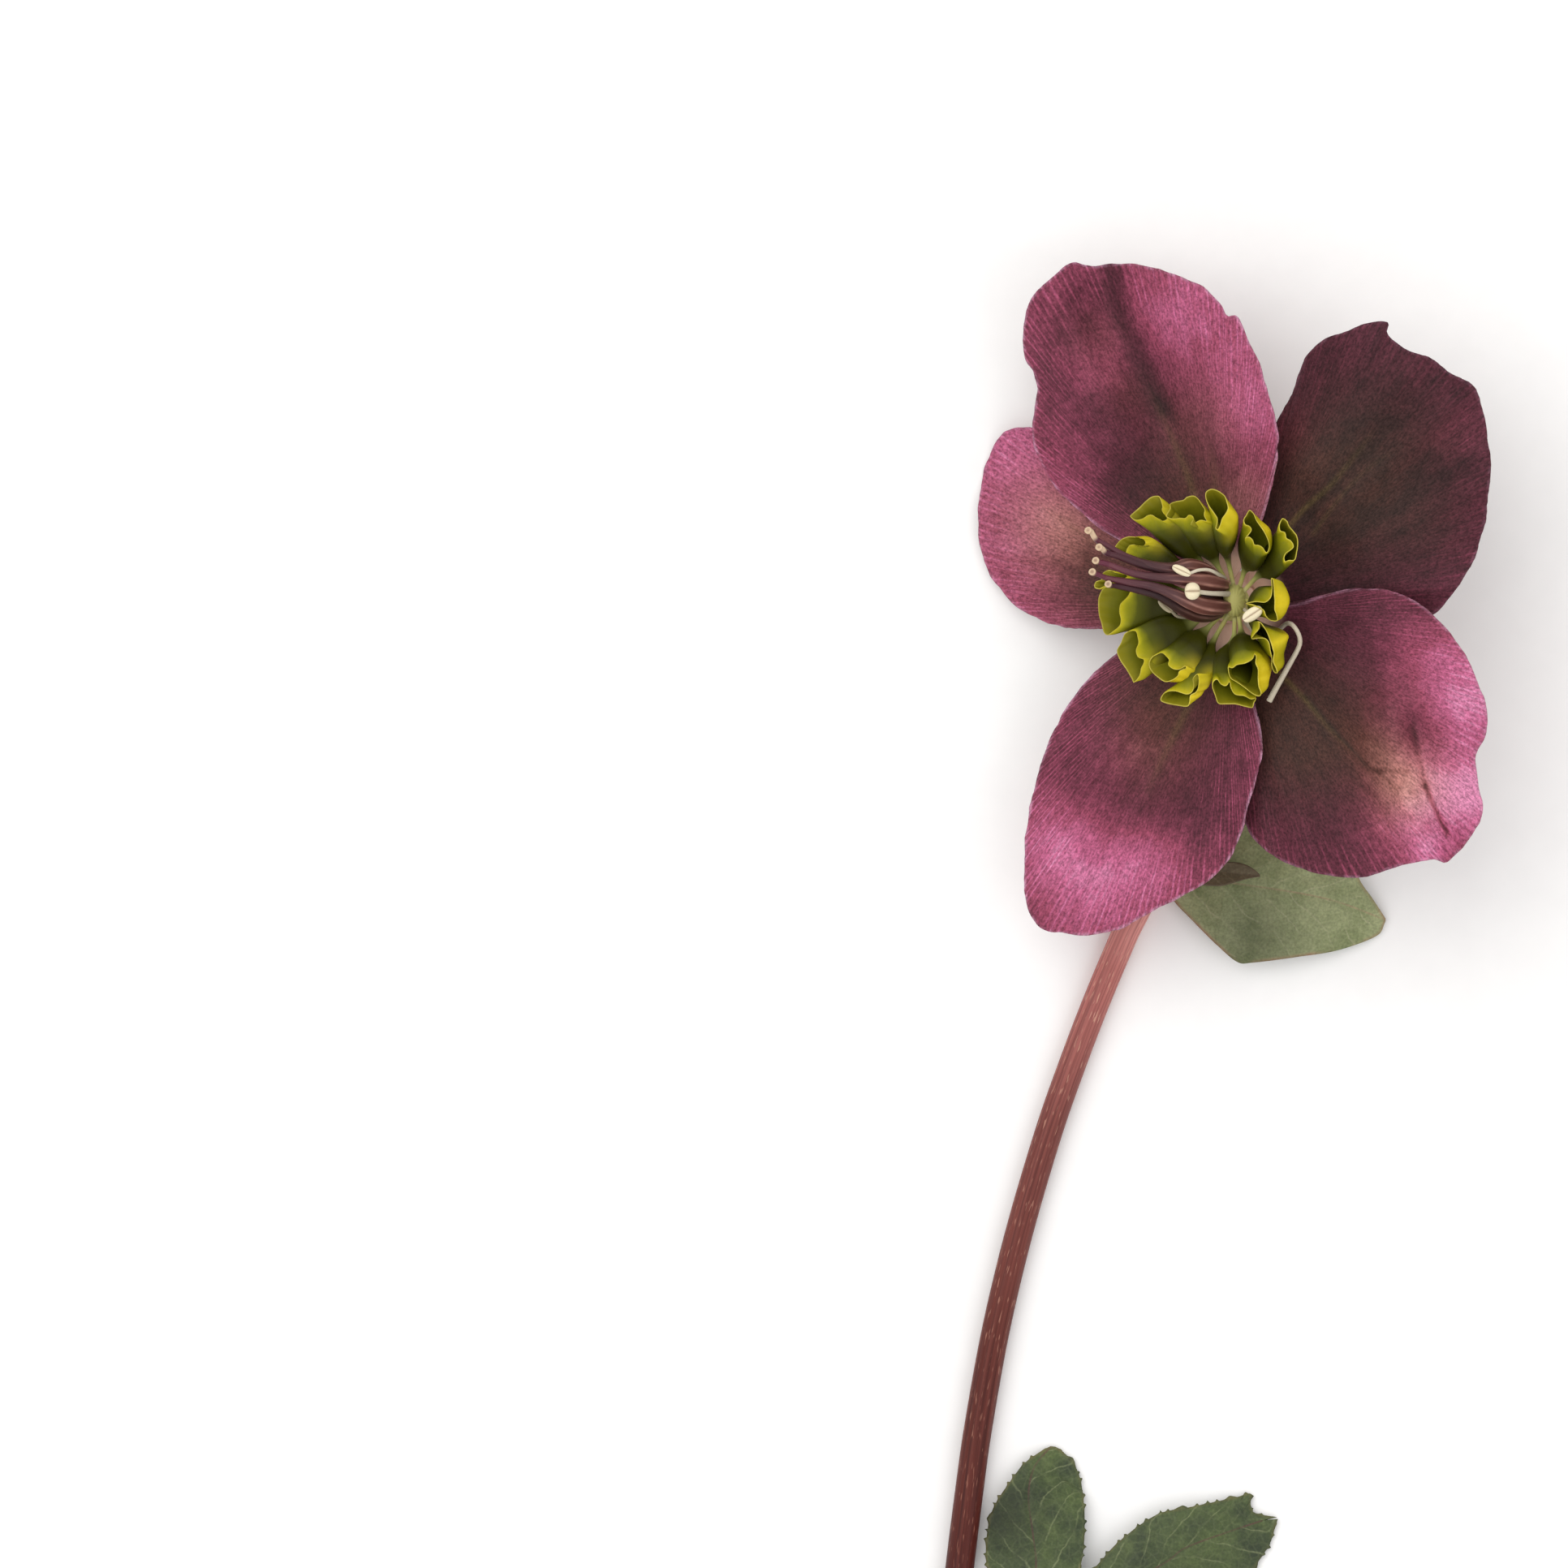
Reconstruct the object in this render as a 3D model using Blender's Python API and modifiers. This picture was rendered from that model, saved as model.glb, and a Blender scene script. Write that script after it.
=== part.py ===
"""Hellebore bloom on a cut stem, lying on its back with the face of the bloom upwards.

Sizes are in millimetres. In the plan view x runs to the right, y runs from the cut foot towards the
bloom, and z runs up from the floor. Plan positions are taken from the middle of the bloom.
"""

import math
import random

import bmesh
import bpy
import numpy as np
from mathutils import Vector
from mathutils.geometry import delaunay_2d_cdt

MM = 0.001
PLAN_SHIFT = (2.71, 45.14)  # moves the middle of the bounding box to the origin

TILT = math.radians(25.0)  # the face of the bloom leans to the left
BLOOM_Z = 16.4  # height of the middle of the receptacle
SIN_T = math.sin(TILT)
COS_T = math.cos(TILT)

SEPAL_THICK = 0.7
LAYER = 1.4  # step between the three layers of sepals
CLAW_RADIUS = 2.5  # inner end of each sepal
CLAW_HALF_ANGLE = 27.0
RECEPTACLE_RADIUS = 2.2
BRACT_THICK = 0.6
NECTARY_WALL = 0.6
NECTARY_SIDES = 14
NECTARY_MOUTH = 8.2  # height of the mouths over the receptacle, along the bloom's axis
STEM_TOP = 3.2  # diameters
STEM_FOOT = 3.5
STEM_SIDES = 14
FLAT_DEPTH = 0.2  # cut off the underside of the stem so that it rests

# Outlines of the sepals, clockwise from claw to claw. layer: 1 front, 0 middle, -1 back.
# fold: (points along it, height, half width), a valley where the height is negative.
SEPALS = {
    "sepal_top": {
        "angle": 108.0,
        "layer": 1,
        "cup": 1.6,
        "outline": [
            (-8.0, 4.4), (-14.7, 8.1), (-17.6, 10.2), (-21.0, 13.4), (-22.9, 16.3), (-24.0, 19.2),
            (-24.1, 21.7), (-23.5, 25.5), (-24.0, 27.5), (-25.0, 29.4), (-25.2, 32.8), (-24.4, 36.2),
            (-22.4, 38.4), (-19.5, 40.7), (-17.1, 40.3), (-12.7, 40.6), (-7.9, 39.5), (-4.0, 37.8),
            (-1.6, 35.6), (-0.9, 34.2), (0.3, 34.2), (1.6, 31.4), (2.8, 28.9), (3.8, 25.7),
            (4.9, 21.7), (5.2, 19.2), (4.8, 15.8), (3.9, 12.1), (2.2, 6.8),
        ],
        "folds": [
            ([(-15.4, 42.0), (-13.7, 35.2), (-11.7, 30.4), (-7.9, 21.7), (-4.5, 12.0)], -2.4, 4.6),
            ([(-22.0, 37.0), (-19.5, 27.0), (-15.5, 19.0)], 1.5, 4.0),
            ([(-26.0, 24.8), (-20.5, 25.4)], -1.0, 2.6),
            ([(-4.0, 38.0), (-1.6, 30.0), (0.4, 22.0)], 1.2, 4.5),
        ],
    },
    "sepal_upper_right": {
        "angle": 36.0,
        "layer": -1,
        "cup": -0.6,
        "outline": [
            (2.2, 6.0), (3.5, 13.9), (4.4, 19.2), (5.2, 21.9), (6.7, 24.6), (8.0, 28.0), (8.7, 29.8),
            (11.1, 31.6), (13.5, 32.5), (15.6, 33.3), (18.3, 33.5), (18.3, 32.1), (20.3, 30.3),
            (23.2, 29.3), (25.6, 27.5), (28.4, 25.9), (29.5, 23.3), (30.2, 19.2), (30.5, 17.3),
            (30.3, 13.4), (29.7, 9.0), (28.3, 4.7), (25.6, 0.5), (23.6, -1.5), (20.8, -3.1),
            (16.4, -4.1), (10.6, -3.4), (5.7, -1.7),
        ],
        "folds": [
            ([(4.0, 3.0), (12.0, 11.5), (20.0, 19.5), (26.0, 25.5)], -1.3, 3.6),
            ([(9.0, 17.0), (13.0, 24.0), (15.0, 31.0)], 0.9, 3.6),
            ([(15.0, 8.0), (23.0, 13.0), (29.0, 17.0)], 1.0, 4.2),
        ],
    },
    "sepal_lower_right": {
        "angle": -36.0,
        "layer": 0,
        "cup": 0.5,
        "outline": [
            (3.6, -0.7), (7.7, -0.2), (11.6, 1.1), (15.4, 1.7), (18.8, 1.3), (21.8, 0.0),
            (24.2, -2.1), (26.6, -4.9), (28.5, -8.5), (29.6, -11.4), (30.1, -13.8), (29.8, -16.2),
            (28.7, -18.2), (29.0, -21.6), (29.5, -24.8), (28.7, -27.1), (26.6, -29.8),
            (25.2, -31.1), (23.5, -30.7), (19.3, -31.6), (16.4, -32.6), (13.5, -32.9),
            (9.6, -32.3), (5.7, -30.9), (2.8, -28.8), (1.2, -26.2), (-0.1, -22.5), (-1.1, -18.2),
            (-1.3, -13.3), (-0.9, -8.4), (0.3, -4.6),
        ],
        "folds": [
            ([(21.5, -12.5), (22.5, -18.5), (23.7, -24.0), (27.0, -31.5)], -1.6, 1.9),
            ([(18.5, -13.0), (19.5, -20.0), (21.0, -26.0), (22.5, -31.5)], 1.7, 2.6),
            ([(6.0, -7.0), (11.5, -14.3), (15.9, -19.1), (19.0, -21.0)], -1.0, 2.6),
            ([(31.0, -17.9), (25.5, -16.5)], -1.0, 2.2),
            ([(27.5, -9.0), (23.0, -6.0), (16.0, -2.5)], 0.9, 3.4),
        ],
    },
    "sepal_bottom": {
        "angle": -108.0,
        "layer": 1,
        "cup": 1.2,
        "outline": [
            (0.6, -4.8), (1.8, -9.4), (2.5, -12.8), (3.2, -15.7), (3.3, -17.7), (2.6, -21.1),
            (1.7, -24.0), (0.7, -27.9), (-1.1, -31.3), (-3.5, -33.5), (-6.4, -35.2), (-9.8, -36.9),
            (-13.2, -38.8), (-16.6, -39.7), (-20.5, -39.6), (-23.4, -38.7), (-24.8, -36.1),
            (-25.1, -32.2), (-24.8, -26.9), (-23.6, -21.1), (-21.5, -15.2), (-18.1, -9.9),
            (-13.2, -5.5), (-6.9, -2.9),
        ],
        "folds": [
            ([(-4.0, -9.0), (-8.5, -19.0), (-12.5, -28.0), (-17.0, -38.0)], -1.2, 3.6),
            ([(1.0, -14.0), (-1.5, -24.0), (-6.0, -33.0)], 0.9, 3.6),
            ([(-15.0, -12.0), (-20.0, -24.0), (-22.5, -36.0)], 1.2, 4.0),
        ],
    },
    "sepal_left": {
        "angle": 180.0,
        "layer": -1,
        "cup": 0.02,
        "outline": [
            (-5.9, -2.0), (-11.7, -2.8), (-17.6, -3.1), (-21.5, -2.6), (-25.3, -0.9), (-28.4, 2.2),
            (-30.2, 6.1), (-30.6, 10.5), (-30.1, 14.9), (-29.2, 17.8), (-28.2, 19.7), (-26.8, 20.8),
            (-24.2, 21.0), (-21.0, 20.2), (-16.6, 17.3), (-11.7, 12.9), (-6.9, 7.6), (-3.8, 3.3),
        ],
        "folds": [
            ([(-5.0, 1.5), (-14.0, 6.0), (-22.0, 11.0), (-28.5, 16.0)], -0.9, 3.4),
            ([(-18.0, 0.0), (-25.0, 4.0), (-29.5, 9.0)], 0.8, 3.6),
        ],
    },
}

# Nectaries: middle of the mouth in plan, half length, half opening, direction of its long way.
NECTARIES = [
    ((5.0, 0.2), 2.7, 1.2, (0.15, -0.99)),
    ((6.5, 7.3), 2.6, 1.0, (0.2, -0.98)),
    ((2.8, 8.5), 2.7, 1.15, (0.4, -0.92)),
    ((-2.2, 12.3), 1.4, 1.2, (0.8, -0.6)),
    ((-5.6, 11.2), 2.3, 1.3, (1.0, 0.0)),
    ((-10.6, 11.2), 2.1, 1.3, (1.0, 0.1)),
    ((-11.9, 7.3), 2.4, 1.0, (0.95, 0.3)),
    ((-15.0, 3.0), 1.8, 1.0, (0.5, 0.87)),
    ((-15.0, -0.9), 2.9, 1.3, (-0.2, -0.98)),
    ((-12.4, -6.5), 3.0, 1.3, (0.05, -1.0)),
    ((-8.2, -7.9), 2.2, 1.7, (0.9, -0.4)),
    ((-5.9, -10.9), 2.7, 1.2, (0.9, 0.45)),
    ((-0.3, -11.1), 2.6, 1.2, (1.0, 0.1)),
    ((1.6, -8.6), 2.1, 1.7, (0.7, -0.7)),
    ((4.8, -5.2), 3.0, 1.0, (0.36, -0.93)),
]

# Follicles: plan and height of base, shoulder, middle of the style and stigma.
FOLLICLES = [
    ((-1.2, 1.7, 20.0), (-7.5, 4.6, 24.6), (-12.5, 6.3, 28.0), (-17.4, 8.8, 30.6)),
    ((-1.1, 1.3, 20.0), (-7.2, 3.2, 24.9), (-12.3, 4.6, 28.4), (-16.1, 6.6, 31.0)),
    ((-1.1, 0.6, 20.0), (-7.0, 2.0, 24.7), (-12.2, 3.2, 28.2), (-16.9, 4.9, 30.8)),
    ((-1.1, -0.4, 20.0), (-6.6, 0.2, 24.6), (-11.5, 2.0, 28.0), (-17.2, 3.6, 30.5)),
    ((-1.3, -1.2, 19.9), (-6.4, -1.2, 24.2), (-10.5, 1.0, 27.4), (-15.2, 1.9, 30.2)),
]

# Stamens: points along the filament, then the anther's middle, length, width and direction.
STAMENS = [
    ([(-1.3, 2.2, 18.4), (-2.2, 4.0, 20.4), (-4.2, 4.6, 24.7), (-5.9, 4.2, 26.3)],
     (-6.7, 4.0, 26.5), 2.2, 1.1, (-0.9, -0.35, 0.1)),
    ([(0.9, 0.8, 19.2), (0.2, 0.9, 21.4), (-1.5, 1.0, 23.1), (-3.4, 1.3, 25.0)],
     (-5.0, 1.4, 25.7), 2.1, 1.7, (-0.95, 0.1, 0.25)),
    ([(-1.6, -1.6, 18.1), (-4.0, -2.9, 20.6), (-6.1, -2.2, 22.4), (-7.4, -1.0, 23.2)],
     (-8.2, -0.5, 23.4), 2.2, 1.1, (-0.8, 0.5, 0.2)),
    ([(0.9, -1.3, 19.0), (1.6, -1.4, 20.6), (2.0, -1.4, 21.6)],
     (2.0, -1.4, 22.0), 2.4, 1.6, (0.85, 0.5, 0.1)),
]
BARE_FILAMENT = [
    (1.3, -1.2, 19.0), (3.6, -2.1, 22.0), (5.7, -2.4, 23.6), (6.9, -3.1, 23.9), (7.7, -4.3, 23.6),
    (7.5, -5.3, 23.2), (6.2, -7.7, 22.6), (4.8, -10.2, 22.0), (4.1, -11.7, 21.6),
]

# Middle line of the stem, from the neck behind the bloom to the cut foot; z None means lying.
STEM_LINE = [
    (1.2, 0.0, None), (3.0, -1.9, 9.4), (3.9, -4.6, 5.8), (3.3, -9.2, 2.7), (-0.3, -15.5, None),
    (-4.2, -22.8, None), (-8.2, -30.3, None), (-12.0, -37.6, None), (-13.4, -40.5, None),
    (-16.65, -48.25, None), (-19.6, -56.0, None), (-22.3, -63.8, None), (-25.7, -75.4, None),
    (-28.5, -87.1, None), (-30.6, -98.7, None), (-31.7, -106.5, None), (-32.8, -115.3, None),
    (-33.5, -122.0, None), (-34.3, -130.8, None),
]

BRACT_GREEN = [
    (-6.8, -31.9), (-4.6, -29.2), (-1.2, -25.6), (3.0, -23.5), (9.0, -25.5), (14.0, -29.5),
    (15.0, -33.0), (16.6, -35.4), (18.4, -37.9), (17.1, -39.9), (12.5, -41.6), (7.7, -42.4),
    (2.3, -43.1), (0.4, -43.0), (-2.0, -41.0), (-5.0, -38.0), (-7.2, -35.6), (-7.6, -33.7),
]
BRACT_GREEN_RIB = [(-7.4, -32.7), (0.0, -33.6), (8.0, -34.8), (13.0, -36.0), (18.4, -38.0)]
BRACT_GREEN_RISE = [1.7, 4.3, 4.9, 3.4, 0.7]
BRACT_DARK = [
    (-7.4, -31.0), (-5.0, -30.6), (-1.1, -31.0), (0.4, -31.1), (1.7, -31.5), (2.6, -32.1), (3.1, -32.8),
    (1.8, -32.9), (-0.3, -33.6), (-1.6, -33.9), (-4.0, -33.8), (-7.6, -33.3),
]

LEAFLET_A = [
    (-29.8, -123.6), (-27.6, -121.0), (-28.0, -118.0), (-29.6, -115.4), (-29.8, -113.5),
    (-29.5, -110.5), (-28.8, -108.2), (-27.2, -105.7), (-25.3, -103.2), (-23.4, -101.8),
    (-21.7, -101.0), (-21.0, -101.3), (-19.4, -102.7), (-18.3, -104.9), (-17.8, -108.8),
    (-17.9, -113.3), (-18.7, -116.4), (-21.5, -121.0), (-25.0, -123.7), (-29.8, -125.4),
]
LEAFLET_A_RIB = [
    (-31.2, -125.0), (-26.8, -122.0), (-24.4, -118.6), (-23.7, -115.3), (-24.1, -111.4),
    (-24.6, -107.0), (-23.9, -103.6), (-21.7, -101.1),
]
LEAFLET_A_RISE = [1.7, 2.6, 3.4, 3.7, 3.4, 2.6, 1.5, 0.5]
LEAFLET_B = [
    (-29.6, -124.4), (-24.0, -121.6), (-20.0, -118.9), (-16.7, -115.5), (-13.7, -112.3),
    (-9.3, -109.2), (-5.4, -108.3), (-0.1, -107.2), (2.1, -106.7), (2.3, -108.8), (5.4, -109.5),
    (4.8, -111.6), (4.4, -113.0), (3.7, -114.0), (2.8, -115.3), (1.5, -117.0), (-1.5, -119.5),
    (-6.0, -122.0), (-12.0, -123.5), (-18.0, -124.0), (-25.0, -125.0), (-29.8, -126.4),
]
LEAFLET_B_RIB = [
    (-31.2, -125.4), (-24.4, -123.5), (-17.6, -120.6), (-12.0, -117.2), (-7.9, -114.8),
    (-5.9, -113.3), (-2.0, -111.8), (3.4, -110.0),
]
LEAFLET_B_RISE = [1.7, 2.4, 3.2, 3.4, 3.0, 2.6, 1.9, 0.6]
TOOTH = 1.5  # pitch of the teeth along a leaflet's margin
TOOTH_DEPTH = 0.45


def clear_scene():
    for thing in list(bpy.data.objects):
        bpy.data.objects.remove(thing, do_unlink=True)


def new_collection(name):
    made = bpy.data.collections.new(name)
    bpy.context.scene.collection.children.link(made)
    return made


def material(name, colour, roughness):
    made = bpy.data.materials.new(name)
    made.use_nodes = True
    shader = made.node_tree.nodes["Principled BSDF"]
    shader.inputs["Base Color"].default_value = (*colour, 1.0)
    shader.inputs["Roughness"].default_value = roughness
    shader.inputs["Metallic"].default_value = 0.0
    return made


def smooth_line(points, closed=False, steps=12):
    """Catmull-Rom line through the points, close enough to be walked along."""
    points = np.array(points, float)
    count = len(points)
    out = []
    spans = count if closed else count - 1
    for i in range(spans):
        if closed:
            a, b, c, d = (points[(i + k) % count] for k in (-1, 0, 1, 2))
        else:
            b, c = points[i], points[i + 1]
            a = points[i - 1] if i else 2 * b - c
            d = points[i + 2] if i + 2 < count else 2 * c - b
        for s in range(steps):
            t = s / steps
            out.append(
                0.5 * ((2 * b) + (c - a) * t + (2 * a - 5 * b + 4 * c - d) * t * t
                       + (3 * b - a - 3 * c + d) * t ** 3)
            )
    if not closed:
        out.append(points[-1])
    return np.array(out)


def evenly(line, count, closed=False):
    """The same line with points at equal steps."""
    if closed:
        line = np.vstack([line, line[:1]])
    length = np.concatenate([[0.0], np.cumsum(np.linalg.norm(np.diff(line, axis=0), axis=1))])
    wanted = np.linspace(0.0, length[-1], count + 1 if closed else count)
    if closed:
        wanted = wanted[:-1]
    return np.stack([np.interp(wanted, length, line[:, k]) for k in range(line.shape[1])], axis=1)


def line_length(line):
    return float(np.linalg.norm(np.diff(line, axis=0), axis=1).sum())


def nearest(points, line):
    """Distance of each point from a line in plan, and how far along it the nearest spot is."""
    points = np.atleast_2d(points)[:, :2]
    line = np.array(line, float)[:, :2]
    best = np.full(len(points), 1e9)
    where = np.zeros(len(points))
    run = 0.0
    for a, b in zip(line[:-1], line[1:]):
        along = b - a
        size = float(np.linalg.norm(along))
        t = np.clip(((points - a) @ along) / (size * size), 0.0, 1.0)
        far = np.linalg.norm(points - (a + t[:, None] * along), axis=1)
        closer = far < best
        best = np.where(closer, far, best)
        where = np.where(closer, run + t * size, where)
        run += size
    return best, where / run


def inside(points, outline):
    """Which points lie inside the closed outline, by counting crossings."""
    result = np.zeros(len(points), bool)
    a = outline
    b = np.roll(outline, -1, axis=0)
    for p, q in zip(a, b):
        crosses = (p[1] > points[:, 1]) != (q[1] > points[:, 1])
        slope = (q[0] - p[0]) / ((q[1] - p[1]) or 1e-9)
        result ^= crosses & (points[:, 0] < p[0] + slope * (points[:, 1] - p[1]))
    return result


def from_bloom(p, q, h):
    """Bloom axes to floor axes: p to the right, q towards the top, h along the bloom's axis."""
    return (p * COS_T - h * SIN_T, q, BLOOM_Z + p * SIN_T + h * COS_T)


def sepal_height(sepal, points):
    """Height of the sheet over the floor at each plan point."""
    x, y = points[:, 0], points[:, 1]
    reach = np.hypot(x, y)
    bend = sepal["cup"] * (reach / 40.0) ** 2 * 2.0
    fade = np.clip((reach - 5.0) / 9.0, 0.0, 1.0)
    for line, height, width in sepal["folds"]:
        far, _ = nearest(points, smooth_line(line, steps=4))
        bend = bend + height * np.exp(-((far / width) ** 2)) * fade
    bend = bend + 0.35 * fade * np.sin(0.33 * x + 0.9) * np.sin(0.29 * y + 0.4)
    return BLOOM_Z + math.tan(TILT) * x + (sepal["layer"] * LAYER + bend) / COS_T


def rib_height(rib, rise, droop, points):
    """A leaf: its rib arches over the floor and the two halves fall away from the rib."""
    far, where = nearest(points, smooth_line(rib, steps=4))
    stops = np.linspace(0.0, 1.0, len(rise))
    lift = np.interp(where, stops, rise)
    return np.maximum(lift - droop * far ** 1.5, 0.32 + 0.04 * far)


def mesh_object(name, verts, faces, group, surface):
    data = bpy.data.meshes.new(name)
    shift = (PLAN_SHIFT[0], PLAN_SHIFT[1], 0.0)
    data.from_pydata([[(c + s) * MM for c, s in zip(v, shift)] for v in verts], [], faces)
    data.materials.append(surface)
    made = bpy.data.objects.new(name, data)
    group.objects.link(made)
    return made


def apply_modifiers(thing):
    """Bakes the modifiers into the mesh."""
    bpy.context.view_layer.update()
    graph = bpy.context.evaluated_depsgraph_get()
    baked = bpy.data.meshes.new_from_object(thing.evaluated_get(graph))
    thing.modifiers.clear()
    thing.data = baked
    work = bmesh.new()
    work.from_mesh(baked)
    bmesh.ops.remove_doubles(work, verts=work.verts, dist=0.000001)
    work.to_mesh(baked)
    work.free()


def shade(thing, degrees=50.0):
    thing.data.shade_smooth()
    thing.data.set_sharp_from_angle(angle=math.radians(degrees))


def blade(name, edge, height, spacing, thick, group, surface):
    """A thin sheet: even triangles inside the closed edge, lifted by height and made solid."""
    low, high = edge.min(axis=0), edge.max(axis=0)
    rows = np.arange(low[1], high[1], spacing * 0.866)
    grid = [
        (x + (0.5 * spacing if i % 2 else 0.0), y)
        for i, y in enumerate(rows)
        for x in np.arange(low[0], high[0], spacing)
    ]
    grid = np.array(grid)
    grid = grid[inside(grid, edge)]
    closed = np.vstack([edge, edge[:1]])
    grid = grid[nearest(grid, closed)[0] > spacing * 0.45]
    flat = np.vstack([edge, grid])
    ring = [(i, (i + 1) % len(edge)) for i in range(len(edge))]
    cut = delaunay_2d_cdt([Vector(p) for p in flat], ring, [list(range(len(edge)))], 1, 1e-5)
    plan = np.array([tuple(v) for v in cut[0]])
    top = height(plan)
    faces = [list(f) for f in cut[2]]
    verts = [(p[0], p[1], z) for p, z in zip(plan, top)]
    made = mesh_object(name, verts, faces, group, surface)
    work = bmesh.new()
    work.from_mesh(made.data)
    bmesh.ops.recalc_face_normals(work, faces=work.faces)
    work.to_mesh(made.data)
    work.free()
    solid = made.modifiers.new("thickness", "SOLIDIFY")
    solid.thickness = thick * MM
    solid.offset = 0.0
    apply_modifiers(made)
    shade(made)
    return made


def loft(name, rings, group, surface):
    """Skins a row of rings that have the same number of points, with a fan at each end."""
    sides = len(rings[0])
    verts = [tuple(p) for ring in rings for p in ring]
    faces = []
    for r in range(len(rings) - 1):
        for s in range(sides):
            a, b = r * sides + s, r * sides + (s + 1) % sides
            faces.append((a, b, b + sides))
            faces.append((a, b + sides, a + sides))
    for r, turn in ((0, -1), (len(rings) - 1, 1)):
        middle = len(verts)
        verts.append(tuple(np.mean(np.array(rings[r], float), axis=0)))
        for s in range(sides):
            a, b = r * sides + s, r * sides + (s + 1) % sides
            faces.append((a, b, middle) if turn > 0 else (b, a, middle))
    made = mesh_object(name, verts, faces, group, surface)
    work = bmesh.new()
    work.from_mesh(made.data)
    bmesh.ops.recalc_face_normals(work, faces=work.faces)
    work.to_mesh(made.data)
    work.free()
    return made


def frames(line, start):
    """Two cross directions at each point of a line, carried along without twist."""
    ways = np.gradient(line, axis=0)
    ways = ways / np.linalg.norm(ways, axis=1)[:, None]
    across = np.array(start, float)
    result = []
    for way in ways:
        across = across - way * float(across @ way)
        across = across / np.linalg.norm(across)
        result.append((across.copy(), np.cross(way, across)))
    return result


def tube(name, line, radii, sides, group, surface, start=(0.0, 0.0, 1.0)):
    """A round rod along a line; radii are given at even steps and filled in between."""
    line = np.array(line, float)
    stops = np.linspace(0.0, 1.0, len(radii))
    size = np.interp(np.linspace(0.0, 1.0, len(line)), stops, radii)
    rings = []
    for point, (u, v), r in zip(line, frames(line, start), size):
        rings.append([
            point + r * (math.cos(a) * u + math.sin(a) * v)
            for a in (2 * math.pi * k / sides for k in range(sides))
        ])
    return loft(name, rings, group, surface)


def bean(name, middle, length, width, way, sides, group, surface):
    """A rounded seed shape such as an anther."""
    way = np.array(way, float)
    way = way / np.linalg.norm(way)
    steps = [-1.0, -0.85, -0.45, 0.0, 0.45, 0.85, 1.0]
    line = [np.array(middle) + way * s * length / 2 for s in steps]
    sizes = [width / 2 * k for k in (0.25, 0.66, 0.95, 1.0, 0.95, 0.66, 0.25)]
    rings = []
    for point, (u, v), r in zip(line, frames(np.array(line), (0.0, 0.0, 1.0)), sizes):
        rings.append([
            point + r * (0.8 * math.cos(a) * u + math.sin(a) * v)
            for a in (2 * math.pi * k / sides for k in range(sides))
        ])
    return loft(name, rings, group, surface)


def nectary(index, group, surface):
    """A funnel on a thin stalk: it runs outwards, widens and opens as a frilled two-lipped mouth."""
    (x, y), half_long, half_open, way = NECTARIES[index]
    rng = random.Random(40 + index)
    p = (x + NECTARY_MOUTH * SIN_T) / COS_T
    turn = math.atan2(y, p)
    even = 2 * math.pi * index / len(NECTARIES)
    gap = (turn - even + math.pi) % (2 * math.pi) - math.pi
    foot_turn = even + 0.45 * gap
    foot = np.array(from_bloom(1.7 * math.cos(foot_turn), 1.7 * math.sin(foot_turn), 2.3))
    mouth = np.array(from_bloom(p, y, NECTARY_MOUTH))
    axis = np.array((-SIN_T, 0.0, COS_T))
    out = mouth - foot
    out = out - axis * float(out @ axis)
    reach = float(np.linalg.norm(out))
    out = out / reach
    bend = foot + out * reach * 0.62 + axis * 1.5
    facing = 0.5 * out + 0.9 * np.array((0.0, 0.0, 1.0))
    facing = facing / np.linalg.norm(facing)
    far_long = np.array((way[0], way[1], 0.0))
    far_long = far_long - facing * float(far_long @ facing)
    far_long = far_long / np.linalg.norm(far_long)
    near_long = np.cross(axis, out)
    if float(near_long @ far_long) < 0.0:
        near_long = -near_long
    ripples = [(rng.choice((3, 4, 5)), rng.uniform(0, 6.28)) for _ in range(2)]

    def ring(t, wall, frill):
        point = (1 - t) ** 2 * foot + 2 * t * (1 - t) * bend + t * t * mouth
        slope = 2 * (1 - t) * (bend - foot) + 2 * t * (mouth - bend)
        slope = slope / np.linalg.norm(slope)
        slope = slope * (1 - t) + facing * t
        slope = slope / np.linalg.norm(slope)
        long_way = near_long * (1 - t) + far_long * t
        long_way = long_way - slope * float(long_way @ slope)
        long_way = long_way / np.linalg.norm(long_way)
        short_way = np.cross(slope, long_way)
        a = np.interp(t, [0, 0.25, 0.5, 0.75, 0.92, 1], [0.42, 0.55, 0.62 * half_long,
                      0.86 * half_long, 0.94 * half_long, half_long]) - wall
        b = np.interp(t, [0, 0.25, 0.5, 0.75, 0.92, 1], [0.42, 0.52, 0.78 * half_open,
                      1.0 * half_open, 0.92 * half_open, half_open]) - wall
        a, b = max(a, 0.3), max(b, 0.24)
        points = []
        for k in range(NECTARY_SIDES):
            f = 2 * math.pi * k / NECTARY_SIDES
            wave = sum(math.sin(n * f + s) for n, s in ripples)
            grow = 1.0 + 0.05 * frill * wave
            lift = frill * (0.16 * wave - 0.55 * math.cos(f) ** 2 + 0.2)
            points.append(point + grow * (a * math.cos(f) * long_way + b * math.sin(f) * short_way)
                          + lift * facing)
        return points

    outer = [ring(t, 0.0, f) for t, f in
             ((0.0, 0), (0.2, 0), (0.4, 0), (0.6, 0), (0.8, 0.3), (0.92, 0.7), (1.0, 1.0))]
    inner = [ring(t, NECTARY_WALL, f) for t, f in ((1.0, 1.0), (0.85, 0.4), (0.66, 0))]
    return loft("nectary_%02d" % index, outer + inner, group, surface)


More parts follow.
